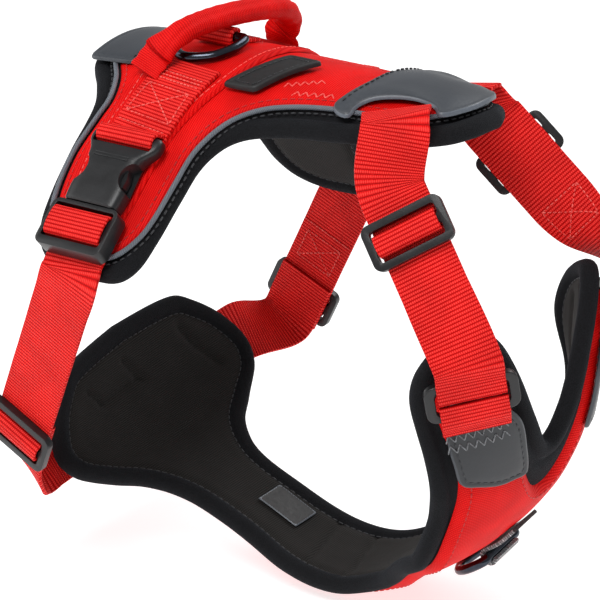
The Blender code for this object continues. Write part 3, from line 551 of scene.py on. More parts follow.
def sheet(name, surface, outline, spacing, loops, top, bottom, looks, slot, nodes,
          pick=None, turn=0.0, smooth=40):
    """A padded or flat sheet on a surface. top and bottom give heights from x, y and edge distance."""
    rim = resample(outline, spacing)
    points = [rim] + [moved_in(rim, distance) for distance in loops]
    low, high = rim.min(0), rim.max(0)
    xs, ys = np.arange(low[0], high[0], spacing), np.arange(low[1], high[1], spacing * 0.87)
    grid = np.stack(np.meshgrid(xs, ys), -1).astype(float)
    grid[1::2, :, 0] += spacing / 2
    grid = grid.reshape(-1, 2)
    grid = grid[is_inside(grid, rim)]
    reach = loops[-1] + 0.6 * spacing
    points.append(grid[edge_distance(grid, rim) > reach])
    flat = np.vstack(points)
    count = len(rim)
    edges = [(k, (k + 1) % count) for k in range(count)]
    flat, _, faces, *_ = delaunay_2d_cdt([Vector(p) for p in flat], edges, [list(range(count))], 1, 1e-5)
    flat = np.array([tuple(p) for p in flat])
    total = len(flat)
    depth = edge_distance(flat, rim)
    on_rim = depth < 0.02
    x, y = flat.T
    upper, lower = top(x, y, depth), bottom(x, y, depth)
    middle = (upper + lower) / 2
    upper = np.where(on_rim, middle, upper)
    points = np.vstack([surface(x, y, upper), surface(x, y, lower)])
    below = np.where(on_rim, np.arange(total), np.arange(total) + total)
    all_faces = [list(f) for f in faces] + [[below[k] for k in reversed(f)] for f in faces]
    c, s = math.cos(turn), math.sin(turn)
    uv = np.tile(np.stack([y * c - x * s, x * c + y * s], -1), (2, 1))
    index = None
    if pick:
        middle_depth = np.array([depth[list(f)].mean() for f in faces])
        index = np.concatenate([pick(middle_depth, True), pick(middle_depth, False)])
    return make(name, points, all_faces, looks, "harness", slot, nodes, uv, index, smooth)


class Ribbon:
    """A strap's route: a surface of its own, with places along and across it in mm."""

    def __init__(self, stations, steps=8):
        route = []
        for (p0, d0, w0), (p1, d1, w1) in zip(stations, stations[1:]):
            span = (p1 - p0).length
            for k in range(steps):
                t = k / steps
                point = ((2 * t ** 3 - 3 * t ** 2 + 1) * p0 + (t ** 3 - 2 * t ** 2 + t) * span * d0
                         + (3 * t ** 2 - 2 * t ** 3) * p1 + (t ** 3 - t ** 2) * span * d1)
                route.append((point, w0.lerp(w1, t)))
        route.append((stations[-1][0], stations[-1][2]))
        self.points = np.array([tuple(p) for p, _ in route])
        wefts = np.array([tuple(w) for _, w in route])
        ahead = np.gradient(self.points, axis=0)
        ahead /= np.linalg.norm(ahead, axis=1)[:, None]
        wefts -= ahead * (wefts * ahead).sum(1)[:, None]
        self.wefts = wefts / np.linalg.norm(wefts, axis=1)[:, None]
        self.normals = np.cross(self.wefts, ahead)
        self.lengths = np.r_[0, np.cumsum(np.linalg.norm(np.diff(self.points, axis=0), axis=1))]
        self.length = self.lengths[-1]

    def face_out(self, centre):
        """Turns the normals so that they point away from this place."""
        middle = len(self.points) // 2
        if np.dot(self.normals[middle], self.points[middle] - np.array(centre)) < 0:
            self.normals = -self.normals
        return self

    def at(self, along, across, height):
        along, across, height = np.broadcast_arrays(*(np.asarray(a, float) for a in (along, across, height)))
        point, weft, normal = (np.stack([np.interp(along, self.lengths, table[:, k]) for k in range(3)], -1)
                               for table in (self.points, self.wefts, self.normals))
        weft /= np.linalg.norm(weft, axis=-1)[..., None]
        normal /= np.linalg.norm(normal, axis=-1)[..., None]
        return point + weft * across[..., None] + normal * height[..., None]


def skin(count, sides, closed=False):
    """The faces between rings of points, with a cap at each end of an open row of rings."""
    faces = []
    for i in range(count if closed else count - 1):
        j = (i + 1) % count
        for k in range(sides):
            after = (k + 1) % sides
            faces.append((i * sides + k, i * sides + after, j * sides + after, j * sides + k))
    if not closed:
        faces += [list(range(sides)), [(count - 1) * sides + k for k in reversed(range(sides))]]
    return faces


def strap(name, ribbon, nodes, body="harness", look=None, slot="red_webbing", width=WEB, thick=WEB_T,
          lift=None, spacing=1.5):
    """A strap with soft edges along a ribbon. lift adds height from the places along and across."""
    count = max(int(ribbon.length / spacing), 4)
    along = np.linspace(0, ribbon.length, count + 1)
    half, t = width / 2, thick / 2
    flat = np.linspace(-1, 1, 13)
    edge = half - 0.25
    section = [(half, 0.0)] + [(edge * a, t) for a in flat[::-1]] + [(-half, 0.0)]
    section += [(edge * a, -t) for a in flat]
    across = np.array([a for a, _ in section])
    high = np.array([b for _, b in section])
    grid_a, grid_w = np.meshgrid(along, across, indexing="ij")
    height = np.tile(high, (count + 1, 1))
    if lift:
        height = height + lift(grid_a, grid_w)
    sag = 0.12 * ripple(grid_a, grid_w * 0.3, 9.0, ribbon.length)
    points = ribbon.at(grid_a, grid_w, height + sag)
    faces = skin(count + 1, len(section))
    uv = np.stack([grid_w, grid_a], -1).reshape(-1, 2)
    return make(name, points.reshape(-1, 3), faces, [look or RED_WEB], body, slot, nodes, uv, smooth=50)


def tube(name, curve, radius, look, body, slot, nodes, sides):
    """A round wire or cord along a closed curve."""
    curve = np.asarray(curve, float)
    count = len(curve)
    ahead = np.roll(curve, -1, 0) - np.roll(curve, 1, 0)
    ahead /= np.linalg.norm(ahead, axis=1)[:, None]
    normal = np.cross(ahead[0], (0.3, 0.5, 0.8))
    normals = []
    for way in ahead:
        normal = normal - way * normal.dot(way)
        normal /= np.linalg.norm(normal)
        normals.append(normal)
    normals = np.array(normals)
    last = normals[-1] - ahead[0] * normals[-1].dot(ahead[0])
    slip = math.atan2(last.dot(np.cross(ahead[0], normals[0])), last.dot(normals[0]))
    angles = math.tau * np.arange(sides) / sides
    lengths = np.r_[0, np.cumsum(np.linalg.norm(np.diff(curve, axis=0), axis=1))]
    points, uv = [], []
    for i in range(count):
        turned = angles - slip * i / count
        other = np.cross(ahead[i], normals[i])
        ring = np.outer(np.cos(turned), normals[i]) + np.outer(np.sin(turned), other)
        points.append(curve[i] + radius * ring)
        uv.append(np.stack([angles * radius, np.full(sides, lengths[i])], -1))
    return make(name, np.vstack(points), skin(count, sides, True), [look], body, slot, nodes, np.vstack(uv))


STITCHES = {}


def stitch(group, start, end, radius=0.28):
    """One stitch, a flat-ended bead between two points in mm."""
    start, end = np.asarray(start, float), np.asarray(end, float)
    ahead = end - start
    size = np.linalg.norm(ahead)
    if size < 0.05:
        return
    ahead /= size
    normal = np.cross(ahead, (0.31, 0.52, 0.79))
    normal /= np.linalg.norm(normal)
    other = np.cross(ahead, normal)
    angles = math.tau * np.arange(6) / 6
    ring = np.outer(np.cos(angles), normal) + np.outer(np.sin(angles), other)
    points, faces = STITCHES.setdefault(group, ([], []))
    base = len(points)
    for t, r in ((0.0, 0.45), (0.14, 1.0), (0.86, 1.0), (1.0, 0.45)):
        points.extend(start + ahead * size * t + ring * radius * r)
    for i in range(3):
        for k in range(6):
            a, b = base + i * 6 + k, base + i * 6 + (k + 1) % 6
            faces.append((a, b, b + 6, a + 6))
    faces.extend([tuple(base + k for k in range(6)), tuple(base + 18 + k for k in reversed(range(6)))])


def stitch_row(group, surface, path, height, pitch=3.0, size=2.1, radius=0.28, closed=False):
    """Stitches along a path of places on a surface."""
    path = resample(path, pitch, closed)
    ends = np.roll(path, -1, 0) if closed else path[1:]
    for a, b in zip(path, ends):
        reach = min(size / max(np.linalg.norm(b - a), 1e-6), 1.0)
        stitch(group, surface(a[0], a[1], height), surface(*(a + (b - a) * reach), height), radius)


def zigzag(group, surface, start, end, height, width=3.0, pitch=1.5, radius=0.26):
    start, end = np.array(start, float), np.array(end, float)
    along = end - start
    count = max(int(np.linalg.norm(along) / pitch), 2)
    across = np.array([-along[1], along[0]]) / np.linalg.norm(along) * width / 2
    spots = [start + along * k / count + across * (1 if k % 2 else -1) for k in range(count + 1)]
    for a, b in zip(spots, spots[1:]):
        stitch(group, surface(*a, height), surface(*b, height), radius)


def box_stitch(group, surface, corners, height, **words):
    """A stitched box with a cross from corner to corner."""
    corners = [np.array(c, float) for c in corners]
    for a, b in zip(corners, corners[1:] + corners[:1]):
        stitch_row(group, surface, [a, b], height, **words)
    for a, b in zip(corners[:2], corners[2:]):
        stitch_row(group, surface, [a, b], height, **words)


def box_corners(start, end, half):
    return [(start, -half), (start, half), (end, half), (end, -half)]


def groove(x, y, path, width, depth):
    """A sewn channel along a path: how far the surface dips."""
    path = np.asarray(path, float)
    points = np.stack([x, y], -1)
    best = np.full(len(points), 1e9)
    for a, b in zip(path, path[1:]):
        along = b - a
        t = np.clip(((points - a) @ along) / (along @ along), 0, 1)
        best = np.minimum(best, np.linalg.norm(points - a - t[:, None] * along, axis=1))
    return depth * np.exp(-(best / width) ** 2)


def step(value, low, high):
    """A smooth change from 0 at low to 1 at high."""
    t = np.clip((value - low) / (high - low), 0, 1)
    return t * t * (3 - 2 * t)


def level(height):
    return lambda x, y, d: height + 0 * d


# ---------------------------------------------------------------- pads and shells

BAND = 7.2


def pad_half(x, y, d, seed):
    """Half thickness of a pad: a rolled binding, its sewn seam, and the flatter middle."""
    roll = np.sqrt(np.clip(1 - (1 - np.clip(d / 3.2, 0, 1)) ** 2, 0, 1))
    drop = 1 - 0.40 * step(d, BAND - 2.3, BAND)
    swell = 0.26 * step(d, BAND + 0.2, BAND + 3.0)
    return PAD_T / 2 * (roll * (drop + swell) * (0.985 + 0.03 * ripple(x, y, 9.0, seed)))


PAD_LOOPS = [0.3, 0.9, 1.8, 3.0, BAND - 2.4, BAND - 1.3, BAND - 0.5, BAND, BAND + 0.6, BAND + 1.6, BAND + 3.0]


def pad(name, surface, half, seed, inner_grooves, node):
    outline = mirrored(half)
    middle = -PAD_T / 2

    def top(x, y, d):
        return middle + pad_half(x, y, d, seed)

    def bottom(x, y, d):
        dip = sum(groove(x, y, path, width, depth) for path, width, depth in inner_grooves)
        return middle - pad_half(x, y, d, seed) + np.minimum(dip, 2.2)

    made = sheet(name, surface, outline, 2.0, PAD_LOOPS, top, bottom, [PILE, LINING], "black_mesh", [node],
                 pick=lambda d, upper: np.where((d > BAND) & (not upper), 1, 0), smooth=0)
    stitch_row("dark", surface, moved_in(resample(outline, 2.0), BAND), middle - 2.0, 3.0, 2.2, 0.3, True)


def both(path):
    return [path, [(x, -y) for x, y in path]]


# Sewn channels on the lining side: a path, its width and its depth.
CHEST_GROOVES = [([(23.8, -4.4), (33.0, -0.5), (34.8, 2.0)], 1.3, 1.5),
                 ([(33.5, 0.5), (34.7, -24.1)], 1.5, 1.7),
                 ([(34.7, -24.1), (26.2, -29.0)], 1.3, 1.5),
                 ([(24.0, 29.7), (33.0, 32.5), (46.7, 40.4)], 1.6, 1.8),
                 ([(136.6, 16.0), (140.0, 2.0), (145.5, -18.0)], 1.3, 1.4),
                 ([(154.0, 17.0), (159.0, 0.0), (166.0, -20.0)], 1.3, 1.4),
                 ([(60.0, -36.0), (66.0, 0.0), (60.0, 34.0)], 2.2, 0.6)]
CHEST_GROOVES += [(path, 1.3, 1.3) for path in both([(206.0, 26.0), (214.0, 0.0)])
                  + both([(222.0, 8.0), (250.0, 26.0), (286.0, 38.0), (318.0, 47.0)])
                  + both([(252.0, 42.0), (262.0, 12.0)])]
BACK_GROOVES = [(path, 1.3, 1.2) for path in both([(-72.0, 4.0), (-30.0, 26.0), (40.0, 22.0), (70.0, 4.0)])
                + both([(-58.0, 52.0), (-20.0, 44.0)]) + both([(-58.0, 80.0), (-20.0, 76.0)])]


def build_pads():
    pad("back_pad", back, BACK_PAD, 1.0, BACK_GROOVES, "back_lining_pad")
    pad("chest_pad", chest, CHEST_PAD, 2.0, CHEST_GROOVES, "chest_lining_pad")


SHELL_LOOPS = [0.4, 1.2, 2.4, 3.6]


def shell(name, surface, outline, base, drop, node):
    """A red shell that dips by drop at its edge, so that no gap shows above the pad."""
    def low(x, y, d):
        return base - drop * (1 - step(d, 0, 3.5))

    def top(x, y, d):
        return (base + SHELL_T * (0.45 + 0.55 * np.sqrt(np.clip(d / 1.2, 0, 1)))
                + 0.12 * ripple(x, y, 14.0, base) * step(d, 0, 4) - drop * (1 - step(d, 0, 3.5)))

    sheet(name, surface, outline, 2.5, SHELL_LOOPS, top, low, [RED_CLOTH], "red_fabric", [node])


def build_shells():
    outline = mirrored(BACK_SHELL)
    shell("back_shell_fabric", back, outline, SHELL_LOW, 0.3, "back_shell")
    rim = resample(outline, 2.0)
    around = moved_in(rim, -1.6)
    tube("back_piping_cord", back(around[:, 0], around[:, 1], 1.25), 0.95, PIPING, "harness", "piping",
         ["back_piping"], 12)
    stitch_row("dark", back, moved_in(rim, -3.5), 0.12, 2.9, 1.9, 0.32, True)
    stitch_row("deep_red", back, moved_in(rim, 2.4), SHELL_LOW + SHELL_T + 0.05, 3.0, 2.1, 0.24, True)

    saddle = mirrored(SADDLE_PANEL)

    def saddle_top(x, y, d):
        hem = 0.42 * (1 - step(d, 3.6, 5.2)) - 0.25 * np.exp(-((d - 3.2) / 0.5) ** 2)
        return SADDLE_LOW + 0.85 * SHELL_T * np.sqrt(np.clip(d / 0.9, 0, 1)) + hem * step(d, 0, 0.9) \
            + 0.14 * ripple(x, y, 11.0, 4.0) * step(d, 4, 8)

    sheet("saddle_panel_fabric", back, saddle, 2.3, [0.35, 0.9, 2.0, 2.7, 3.2, 3.7, 4.4, 5.2], saddle_top,
          level(SADDLE_LOW), [RED_CLOTH], "red_fabric", ["back_saddle_panel"], turn=0.12)
    rim = moved_in(resample(saddle, 2.0), 3.2)
    stitch_row("red", back, rim, SADDLE_LOW + SHELL_T + 0.02, 2.8, 2.0, 0.24, True)

    outline = mirrored(CHEST_SHELL)
    shell("chest_shell_fabric", chest, outline, CHEST_LOW, 2.2, "chest_shell")
    rim = resample(outline, 2.0)
    stitch_row("deep_red", chest, moved_in(rim, 3.8), CHEST_LOW + SHELL_T + 0.05, 3.0, 2.1, 0.25, True)


def strip(x0, x1, s0, s1, lean=0.0, corner=2.0):
    """A leaning strip over the ridge with rounded corners."""
    shape = []
    for cx, cy, sx, sy in ((x0, s0, 1, 1), (x1, s0, -1, 1), (x1, s1, -1, -1), (x0, s1, 1, -1)):
        start = {(1, 1): 180, (-1, 1): 270, (-1, -1): 0, (1, -1): 90}[(sx, sy)]
        for k in range(5):
            a = math.radians(start + 22.5 * k)
            y = cy + sy * corner + corner * math.sin(a)
            shape.append((cx + sx * corner + corner * math.cos(a) + lean * y, y))
    return np.array(shape)


def build_covers():
    rear, front, half = REAR_COVER
    low = SADDLE_LOW + GAP

    def film_top(low, seam):
        return lambda x, y, d: (low + COVER_T * (0.35 + 0.65 * np.sqrt(np.clip(d, 0, 1)))
                                - seam * np.exp(-((d - 2.4) / 0.5) ** 2))

    shape = strip(rear, front, -half, half, 0.0, 3.0)
    sheet("rear_cover_film", back, shape, 2.0, [0.3, 0.8, 1.6, 2.0, 2.4, 2.8, 3.4],
          film_top(low, 0.35), level(low), [SLATE], "slate_film", ["rear_cover"])
    rows = [(front - 2.6, -half + 3), (front - 2.6, half - 3)]
    stitch_row("dark", back, rows, low + COVER_T - 0.1, 2.8, 1.9, 0.3)

    outline = mirrored(FRONT_COVER, 4)

    def front_low(x, y, d):
        over_strap = np.exp(-(((x - 53) / 14) ** 2 + ((abs(y) - 23) / 9) ** 2) ** 2)
        return TRIM_LOW - 1.4 + 1.7 * over_strap

    def front_top(x, y, d):
        rim = 0.45 * np.exp(-((d - 0.7) / 0.55) ** 2) * step(x, 60, 68)
        return (front_low(x, y, d) + 1.3 * (0.3 + 0.7 * np.sqrt(np.clip(d / 1.2, 0, 1))) + rim
                + 2.2 * (1 - np.exp(-d / 7)) + 0.08 * ripple(x, y, 16.0, 2.0))

    # The thin rim uses the brighter copy of the film, a painted highlight along the edge.
    sheet("front_cover_film", back, outline, 2.0, [0.3, 0.7, 1.1, 1.6, 2.4, 3.4, 4.8], front_top,
          front_low, [SLATE, SLATE_HIGHLIT], "slate_film", ["front_cover"],
          pick=lambda d, upper: np.where(d < 0.7, 1, 0), smooth=60)
    for side in (-1, 1):
        path = [(36.0, side * 1.0), (35.8, side * 14.0), (34.2, side * 24.0), (33.2, side * 30.0)]
        stitch_row("dark", back, path, TRIM_LOW + 0.95, 2.9, 2.0, 0.34)

    for name, side in SIDES:
        shape = catmull([(x, side * y) for x, y in ARM_COVER], 4, True)
        # The cover's middle uses the darker copy of the film, painted shade; its rim uses the plain film.
        sheet(f"{name}_arm_cover_film", chest, shape, 2.0, [0.3, 0.8, 1.5, 2.0, 2.4, 2.9],
              film_top(ARM_COVER_LOW, 0.3), level(ARM_COVER_LOW), [SLATE_SHADED, SLATE],
              "slate_film", [f"{name}_arm_cover"], pick=lambda d, upper: np.where(d < 0.8, 1, 0))
        top = ARM_COVER_LOW + COVER_T + 0.06
        rim = moved_in(resample(shape, 2.0), 2.4)
        stitch_row("dark", chest, rim, top - 0.3, 2.6, 1.7, 0.27, True)

    patch = strip(*PATCH)

    def patch_top(x, y, d):
        return (TRIM_LOW + 1.9 * np.sqrt(np.clip(d / 0.7, 0, 1)) - 0.55 * step(d, 1.7, 2.3)
                + 0.08 * ripple(x, y, 12.0, 7.0))

    sheet("blank_rubber_patch", back, patch, 1.2, [0.2, 0.5, 1.0, 1.7, 2.0, 2.3], patch_top,
          level(TRIM_LOW), [RUBBER], "patch_rubber", ["blank_patch"])
    stitch_row("dark", back, moved_in(resample(patch, 1.5), 2.6), TRIM_LOW + 1.42, 2.2, 1.5, 0.22, True)

    tag = np.array(SIZE_TAG, float)
    low = -PAD_T - GAP - 0.5
    # The tag's rim uses the brighter copy of the slate film, a painted highlight along the edge.
    sheet("size_tag_label", chest, tag, 1.2, [0.3, 0.7, 1.1], level(low + 0.5),
          lambda x, y, d: low - 0.12 * np.exp(-(d / 0.7) ** 2) + 0.06 * ripple(x, y, 8.0),
          [RUBBER, SLATE_HIGHLIT], "tag_fabric", ["size_tag"], pick=lambda d, upper: np.where(d < 0.55, 1, 0))


# ---------------------------------------------------------------- handle and leash rings

def build_ring(name, body, place, tilt, half, slot, keeper_nodes, keeper_look, tail):
    """A D-shaped leash ring lying on a surface, and the webbing loop that keeps it."""
    radius = RING_WIRE / 2
    centre = place @ Matrix.Translation((0, 0, radius + GAP + WEB_T))
    flat = centre @ Matrix.Rotation(math.radians(tilt), 4, "X")
    profile = [(-half, 0), (-half + 5, 0), (0, 0), (half - 5, 0), (half, 0), (half + 1, 6),
               (half - 0.5, 12), (half - 4, 17), (0, 20.5), (4 - half, 17), (0.5 - half, 12),
               (-half - 1, 6)]
    curve = [flat @ Vector((p[0], p[1], 0)) for p in catmull(profile, 6, True)]
    tube(name + "_wire", curve, radius, METAL, body, "gunmetal", [name], 18)
    middle = radius + GAP + WEB_T / 2
    turns = [math.radians(a) for a in range(0, 241, 20)]
    path = tail + [centre @ Vector((0, middle * math.sin(a), -middle * math.cos(a))) for a in turns]
    weft = across_of(centre)
    ribbon = Ribbon(route_of(path, [weft] * len(path)), 3).face_out(centre.translation)
    strap(name + "_keeper_strap", ribbon, keeper_nodes, look=keeper_look, slot=slot, width=17.0, spacing=0.8)


def placed(place, path):
    """The points of a path given by y and z in a frame."""
    return [place @ Vector((0, y, z)) for y, z in path]


def across_of(place):
    """The X direction of a frame, which the weft of its webbing follows."""
    return place.to_3x3() @ Vector((1, 0, 0))


def route_of(points, wefts):
    last = len(points) - 1
    return [(p, (points[min(k + 1, last)] - points[max(k - 1, 0)]).normalized(), w)
            for k, (p, w) in enumerate(zip(points, wefts))]


def build_handle():
    """The padded handle: round and creased over the ring, flattening into its sewn feet."""
    right, left = (back_point(HANDLE_AT + HANDLE_SKEW * s, s, TRIM_LOW + WEB_T + 3.0)
                   for s in (-HANDLE_FOOT, HANDLE_FOOT))
    across = (left - right).normalized()
    up = Vector((0, 0, 1))
    middle = (left + right) / 2
    span = (left - right).length / 2
    arch = [(-0.98, 0.10), (-0.93, 0.42), (-0.72, 0.76), (-0.36, 0.94), (0, 1), (0.36, 1.0),
            (0.72, 0.90), (0.95, 0.55), (0.98, 0.12)]
    bend = catmull(arch, 14)
    curve = np.array([tuple(middle + across * span * p[0] + up * HANDLE_RISE * p[1]
                            + Vector((HANDLE_LEAN * p[1], 0, 0))) for p in bend])
    feet = [back(HANDLE_AT + HANDLE_SKEW * s, s, TRIM_LOW + WEB_T + 1.9)
            for s in (-HANDLE_FOOT - 4.5, HANDLE_FOOT + 4.0)]
    curve = catmull(np.vstack([feet[0], curve[3::6], feet[1]]), 10)
    spacing = 0.8
    curve = resample(curve, spacing, False)
    count = len(curve)
    ahead = np.gradient(curve, axis=0)
    ahead /= np.linalg.norm(ahead, axis=1)[:, None]
    sideways = np.array((1.0, HANDLE_SKEW, 0.0))
    sides = 40
    angles = math.tau * np.arange(sides) / sides
    points, uv = [], []
    for i, (point, way) in enumerate(zip(curve, ahead)):
        t = i / (count - 1)
        weft = sideways - way * sideways.dot(way)
        weft /= np.linalg.norm(weft)
        out = np.cross(way, weft)
        if out[2] < 0:
            out = -out
        near, far = step(t, 0.03, 0.22), step(1 - t, 0.05, 0.22)
        full = min(near, far)
        wide = 6.6 * (1 - full) + 4.9 * full
        high = 1.2 * (1 - full) + 4.4 * full
        length = i * spacing
        fold = 1 - 0.17 * full * np.exp(-(((angles - 1.15 + 0.25 * math.sin(4 * t)) / 0.2) ** 2))
        wave = length * 1.15 + 1.6 * np.sin(2 * angles) + 2.0 * math.sin(length * 0.21)
        crease = 1 + 0.028 * np.sin(wave) * (0.35 + 0.65 * (1 - full) + 0.5 * abs(math.cos(3.0 * t)))
        r = fold * crease
        points.append(point + np.outer(np.cos(angles) * wide * r, weft)
                      + np.outer(np.sin(angles) * high * r, out))
        uv.append(np.stack([angles * 4.2, np.full(sides, length)], -1))
    made = make("padded_handle", np.vstack(points), skin(count, sides), [RED_HANDLE], "handle",
                "red_webbing", ["handle_grip"], np.vstack(uv), smooth=0)


# ---------------------------------------------------------------- buckles, sliders and straps

def rounded_rectangle(width, height, radius, steps=5, centre=(0, 0)):
    outline = []
    for sx, sy, start in ((1, 1, 0), (-1, 1, 90), (-1, -1, 180), (1, -1, 270)):
        for k in range(steps + 1):
            a = math.radians(start + 90 * k / steps)
            outline.append(Vector((centre[0] + sx * (width / 2 - radius) + radius * math.cos(a),
                                   centre[1] + sy * (height / 2 - radius) + radius * math.sin(a))))
    return outline


def plate_mesh(outline, holes, low, high, place, bevel, segments=3):
    """A moulded plate with holes and rounded edges, as an applied mesh."""
    loops = [list(outline)] + [list(h) for h in holes]
    points, edges = [], []
    for loop in loops:
        start = len(points)
        points += [Vector((p[0], p[1])) for p in loop]
        edges += [(start + k, start + (k + 1) % len(loop)) for k in range(len(loop))]
    flat, _, faces, *_ = delaunay_2d_cdt(points, edges, [], 1, 1e-5)
    arrays = [np.array([tuple(p) for p in loop]) for loop in loops[1:]]
    kept = []
    for f in faces:
        centre = np.array([sum((flat[k] for k in f), Vector((0, 0))) / 3])
        if not any(is_inside(centre, hole)[0] for hole in arrays):
            kept.append(f)
    bm = bmesh.new()
    below = [bm.verts.new(Vector((p.x, p.y, low))) for p in flat]
    above = [bm.verts.new(Vector((p.x, p.y, high))) for p in flat]
    edges = set()
    for face in kept:
        bm.faces.new([above[k] for k in face])
        bm.faces.new([below[k] for k in reversed(face)])
        edges.update(zip(face, face[1:] + face[:1]))
    for a, b in edges:
        if (b, a) not in edges:
            bm.faces.new([above[b], above[a], below[a], below[b]])
    bmesh.ops.delete(bm, geom=[v for v in bm.verts if not v.link_faces], context="VERTS")
    bmesh.ops.recalc_face_normals(bm, faces=bm.faces)
    bmesh.ops.dissolve_limit(bm, angle_limit=math.radians(1), verts=bm.verts, edges=bm.edges)
    if bevel:
        rims = [e for e in bm.edges
                if len(e.link_faces) == 2 and abs(e.verts[0].co.z - e.verts[1].co.z) < 1e-4]
        bmesh.ops.bevel(bm, geom=rims, offset=bevel, segments=segments, profile=0.5, affect="EDGES",
                        clamp_overlap=True)
    bmesh.ops.transform(bm, matrix=Matrix.Scale(MM, 4) @ place, verts=bm.verts)
    mesh = bpy.data.meshes.new("plate")
    bm.to_mesh(mesh)
    bm.free()
    return mesh


def moulded(name, mesh, body, nodes):
    mesh.name = name
    mesh.materials.append(PLASTIC)
    return place_piece(name, mesh, body, "black_plastic", nodes, 32)


def cut(target, tool_mesh, operation="DIFFERENCE"):
    """Cuts or joins one mesh with another, through a throwaway pair of objects."""
    a = bpy.data.objects.new("cut_a", target)
    b = bpy.data.objects.new("cut_b", tool_mesh)
    for obj in (a, b):
        bpy.context.scene.collection.objects.link(obj)
    change = a.modifiers.new("cut", "BOOLEAN")
    change.operation, change.object, change.solver = operation, b, "EXACT"
    graph = bpy.context.evaluated_depsgraph_get()
    result = bpy.data.meshes.new_from_object(a.evaluated_get(graph))
    for obj in (a, b):
        bpy.data.objects.remove(obj, do_unlink=True)
    return result


def build_socket(name, place):
    ear, waist = WEB / 2 + 2.5, SOCKET_WIDTH / 2
    half = [(0.0, ear - 2.2), (0.5, ear - 0.6), (2.0, ear), (5.0, ear), (7.5, ear - 1.3), (10.5, waist + 0.2),
            (14.0, waist - 0.5), (20.0, waist - 0.2), (26.0, waist + 0.2), (SOCKET_LENGTH, waist - 0.2)]
    thick = [(0.0, 5.6), (2.5, 6.6), (7.0, 7.2), (11.0, 8.6), (16.0, 9.0), (26.0, 9.0), (SOCKET_LENGTH, 8.8)]
    stations = np.r_[0.0, 0.5, 1.2, np.linspace(2.0, SOCKET_LENGTH - 1.2, 26),
                     SOCKET_LENGTH - 0.5, SOCKET_LENGTH]
    profile = catmull(half, 6)
    wide = np.interp(stations, profile[:, 0], profile[:, 1])
    tall = np.interp(stations, *np.array(thick).T)
    sides = 48
    angles = math.tau * (np.arange(sides) + 0.5) / sides
    points = []
    for y, w, t in zip(stations, wide, tall):
        end = min(y, SOCKET_LENGTH - y)
        trim = 0.5 * (1 - min(end / 0.8, 1)) ** 2
        w, t = w - trim, t - 2 * trim
        cx = np.sign(np.cos(angles)) * np.abs(np.cos(angles)) ** 0.34 * w
        cz = np.sign(np.sin(angles)) * np.abs(np.sin(angles)) ** 0.5 * t / 2 + t / 2 + trim
        points += [place @ Vector((x, y, z)) for x, z in zip(cx, cz)]
    mesh = bpy.data.meshes.new("socket")
    mesh.from_pydata([tuple(p * MM) for p in points], [], skin(len(stations), sides))
    face_outwards(mesh)
    wall = SOCKET_WALL
    cavity = plate_mesh(rounded_rectangle(2 * (waist - wall), SOCKET_THICK - 2 * wall, 1.6, 4,
                                          (0, SOCKET_THICK / 2)), [], 9.5, SOCKET_LENGTH + 1,
                        Matrix([place.col[k].copy() for k in (0, 2, 1, 3)]).transposed(), 0)
    mesh = cut(mesh, cavity)
    slot = plate_mesh(rounded_rectangle(WEB + 0.8, 3.4, 1.2, 4, (0, 5.2)), [], -1, SOCKET_THICK + 1, place, 0)
    mesh = cut(mesh, slot)
    for way in (-1, 1):
        oval = [Vector((way * (waist + 1.4) + 5.4 * math.cos(a), 18.6 + 6.2 * math.sin(a)))
                for a in (math.tau * k / 32 for k in range(32))]
        mesh = cut(mesh, plate_mesh(oval, [], wall + 0.4, SOCKET_THICK + 1, place, 0))
    moulded(f"{name}_socket_shell", mesh, "harness", [f"{name}_buckle_socket"])
    for y in (11.6, 12.9):
        groove_bar = plate_mesh(rounded_rectangle(15.0, 0.5, 0.24, 3, (0, y)), [], SOCKET_THICK - 0.75,
                                SOCKET_THICK + 0.05 - (0.3 if y < 12 else 0.0), place, 0.12, 2)
        moulded(f"{name}_socket_ridge_{'a' if y < 12 else 'b'}", groove_bar, "harness", [])


def build_plug(name, place):
    body = f"{name}_plug"
    width, length, thick = PLUG_FRAME
    start = SOCKET_LENGTH + GAP
    middle = start + length / 2
    slots = [rounded_rectangle(WEB + 0.8, 3.2, 1.0, 3, (0, middle + dy)) for dy in (-6.2, 4.6)]
    low = (SOCKET_THICK - thick) / 2
    outline = rounded_rectangle(width, length, 3.0, 5, (0, middle))
    mesh = plate_mesh(outline, slots, low, low + thick, place, 1.0)
    tongue = plate_mesh(rounded_rectangle(3.2, start + 1 - 11.0, 1.2, 4, (0, (start + 12.0) / 2)), [],
                        (SOCKET_THICK - 3.6) / 2, (SOCKET_THICK + 3.6) / 2, place, 0.4)
    moulded(f"{name}_plug_frame", cut(mesh, tongue, "UNION"), body, [f"{name}_buckle_plug"])
    top = thick + low
    path = [(-6.0, low + 0.9), (-6.1, top - 0.9), (-5.7, top + 0.1), (-4.4, top + 0.75), (-2.0, top + 1.05),
            (0.4, top + 1.0), (2.8, top + 0.6), (4.1, top - 0.2), (4.5, top - 1.2), (4.5, low + 0.9)]
    lace(f"{name}_plug_lace", place, [(middle + y, z) for y, z in path], body, [f"{name}_plug_webbing"])


def lace(name, place, path, body, nodes):
    points = placed(place, path)
    weft = across_of(place)
    ribbon = Ribbon(route_of(points, [weft] * len(points)), 4)
    out = np.array(place.to_3x3() @ Vector((0, 0, 1)))
    if ribbon.normals[len(ribbon.normals) // 2].dot(out) < 0:
        ribbon.normals = -ribbon.normals
    return strap(name, ribbon, nodes, body, width=WEB - 0.2, thick=1.2, spacing=0.6)


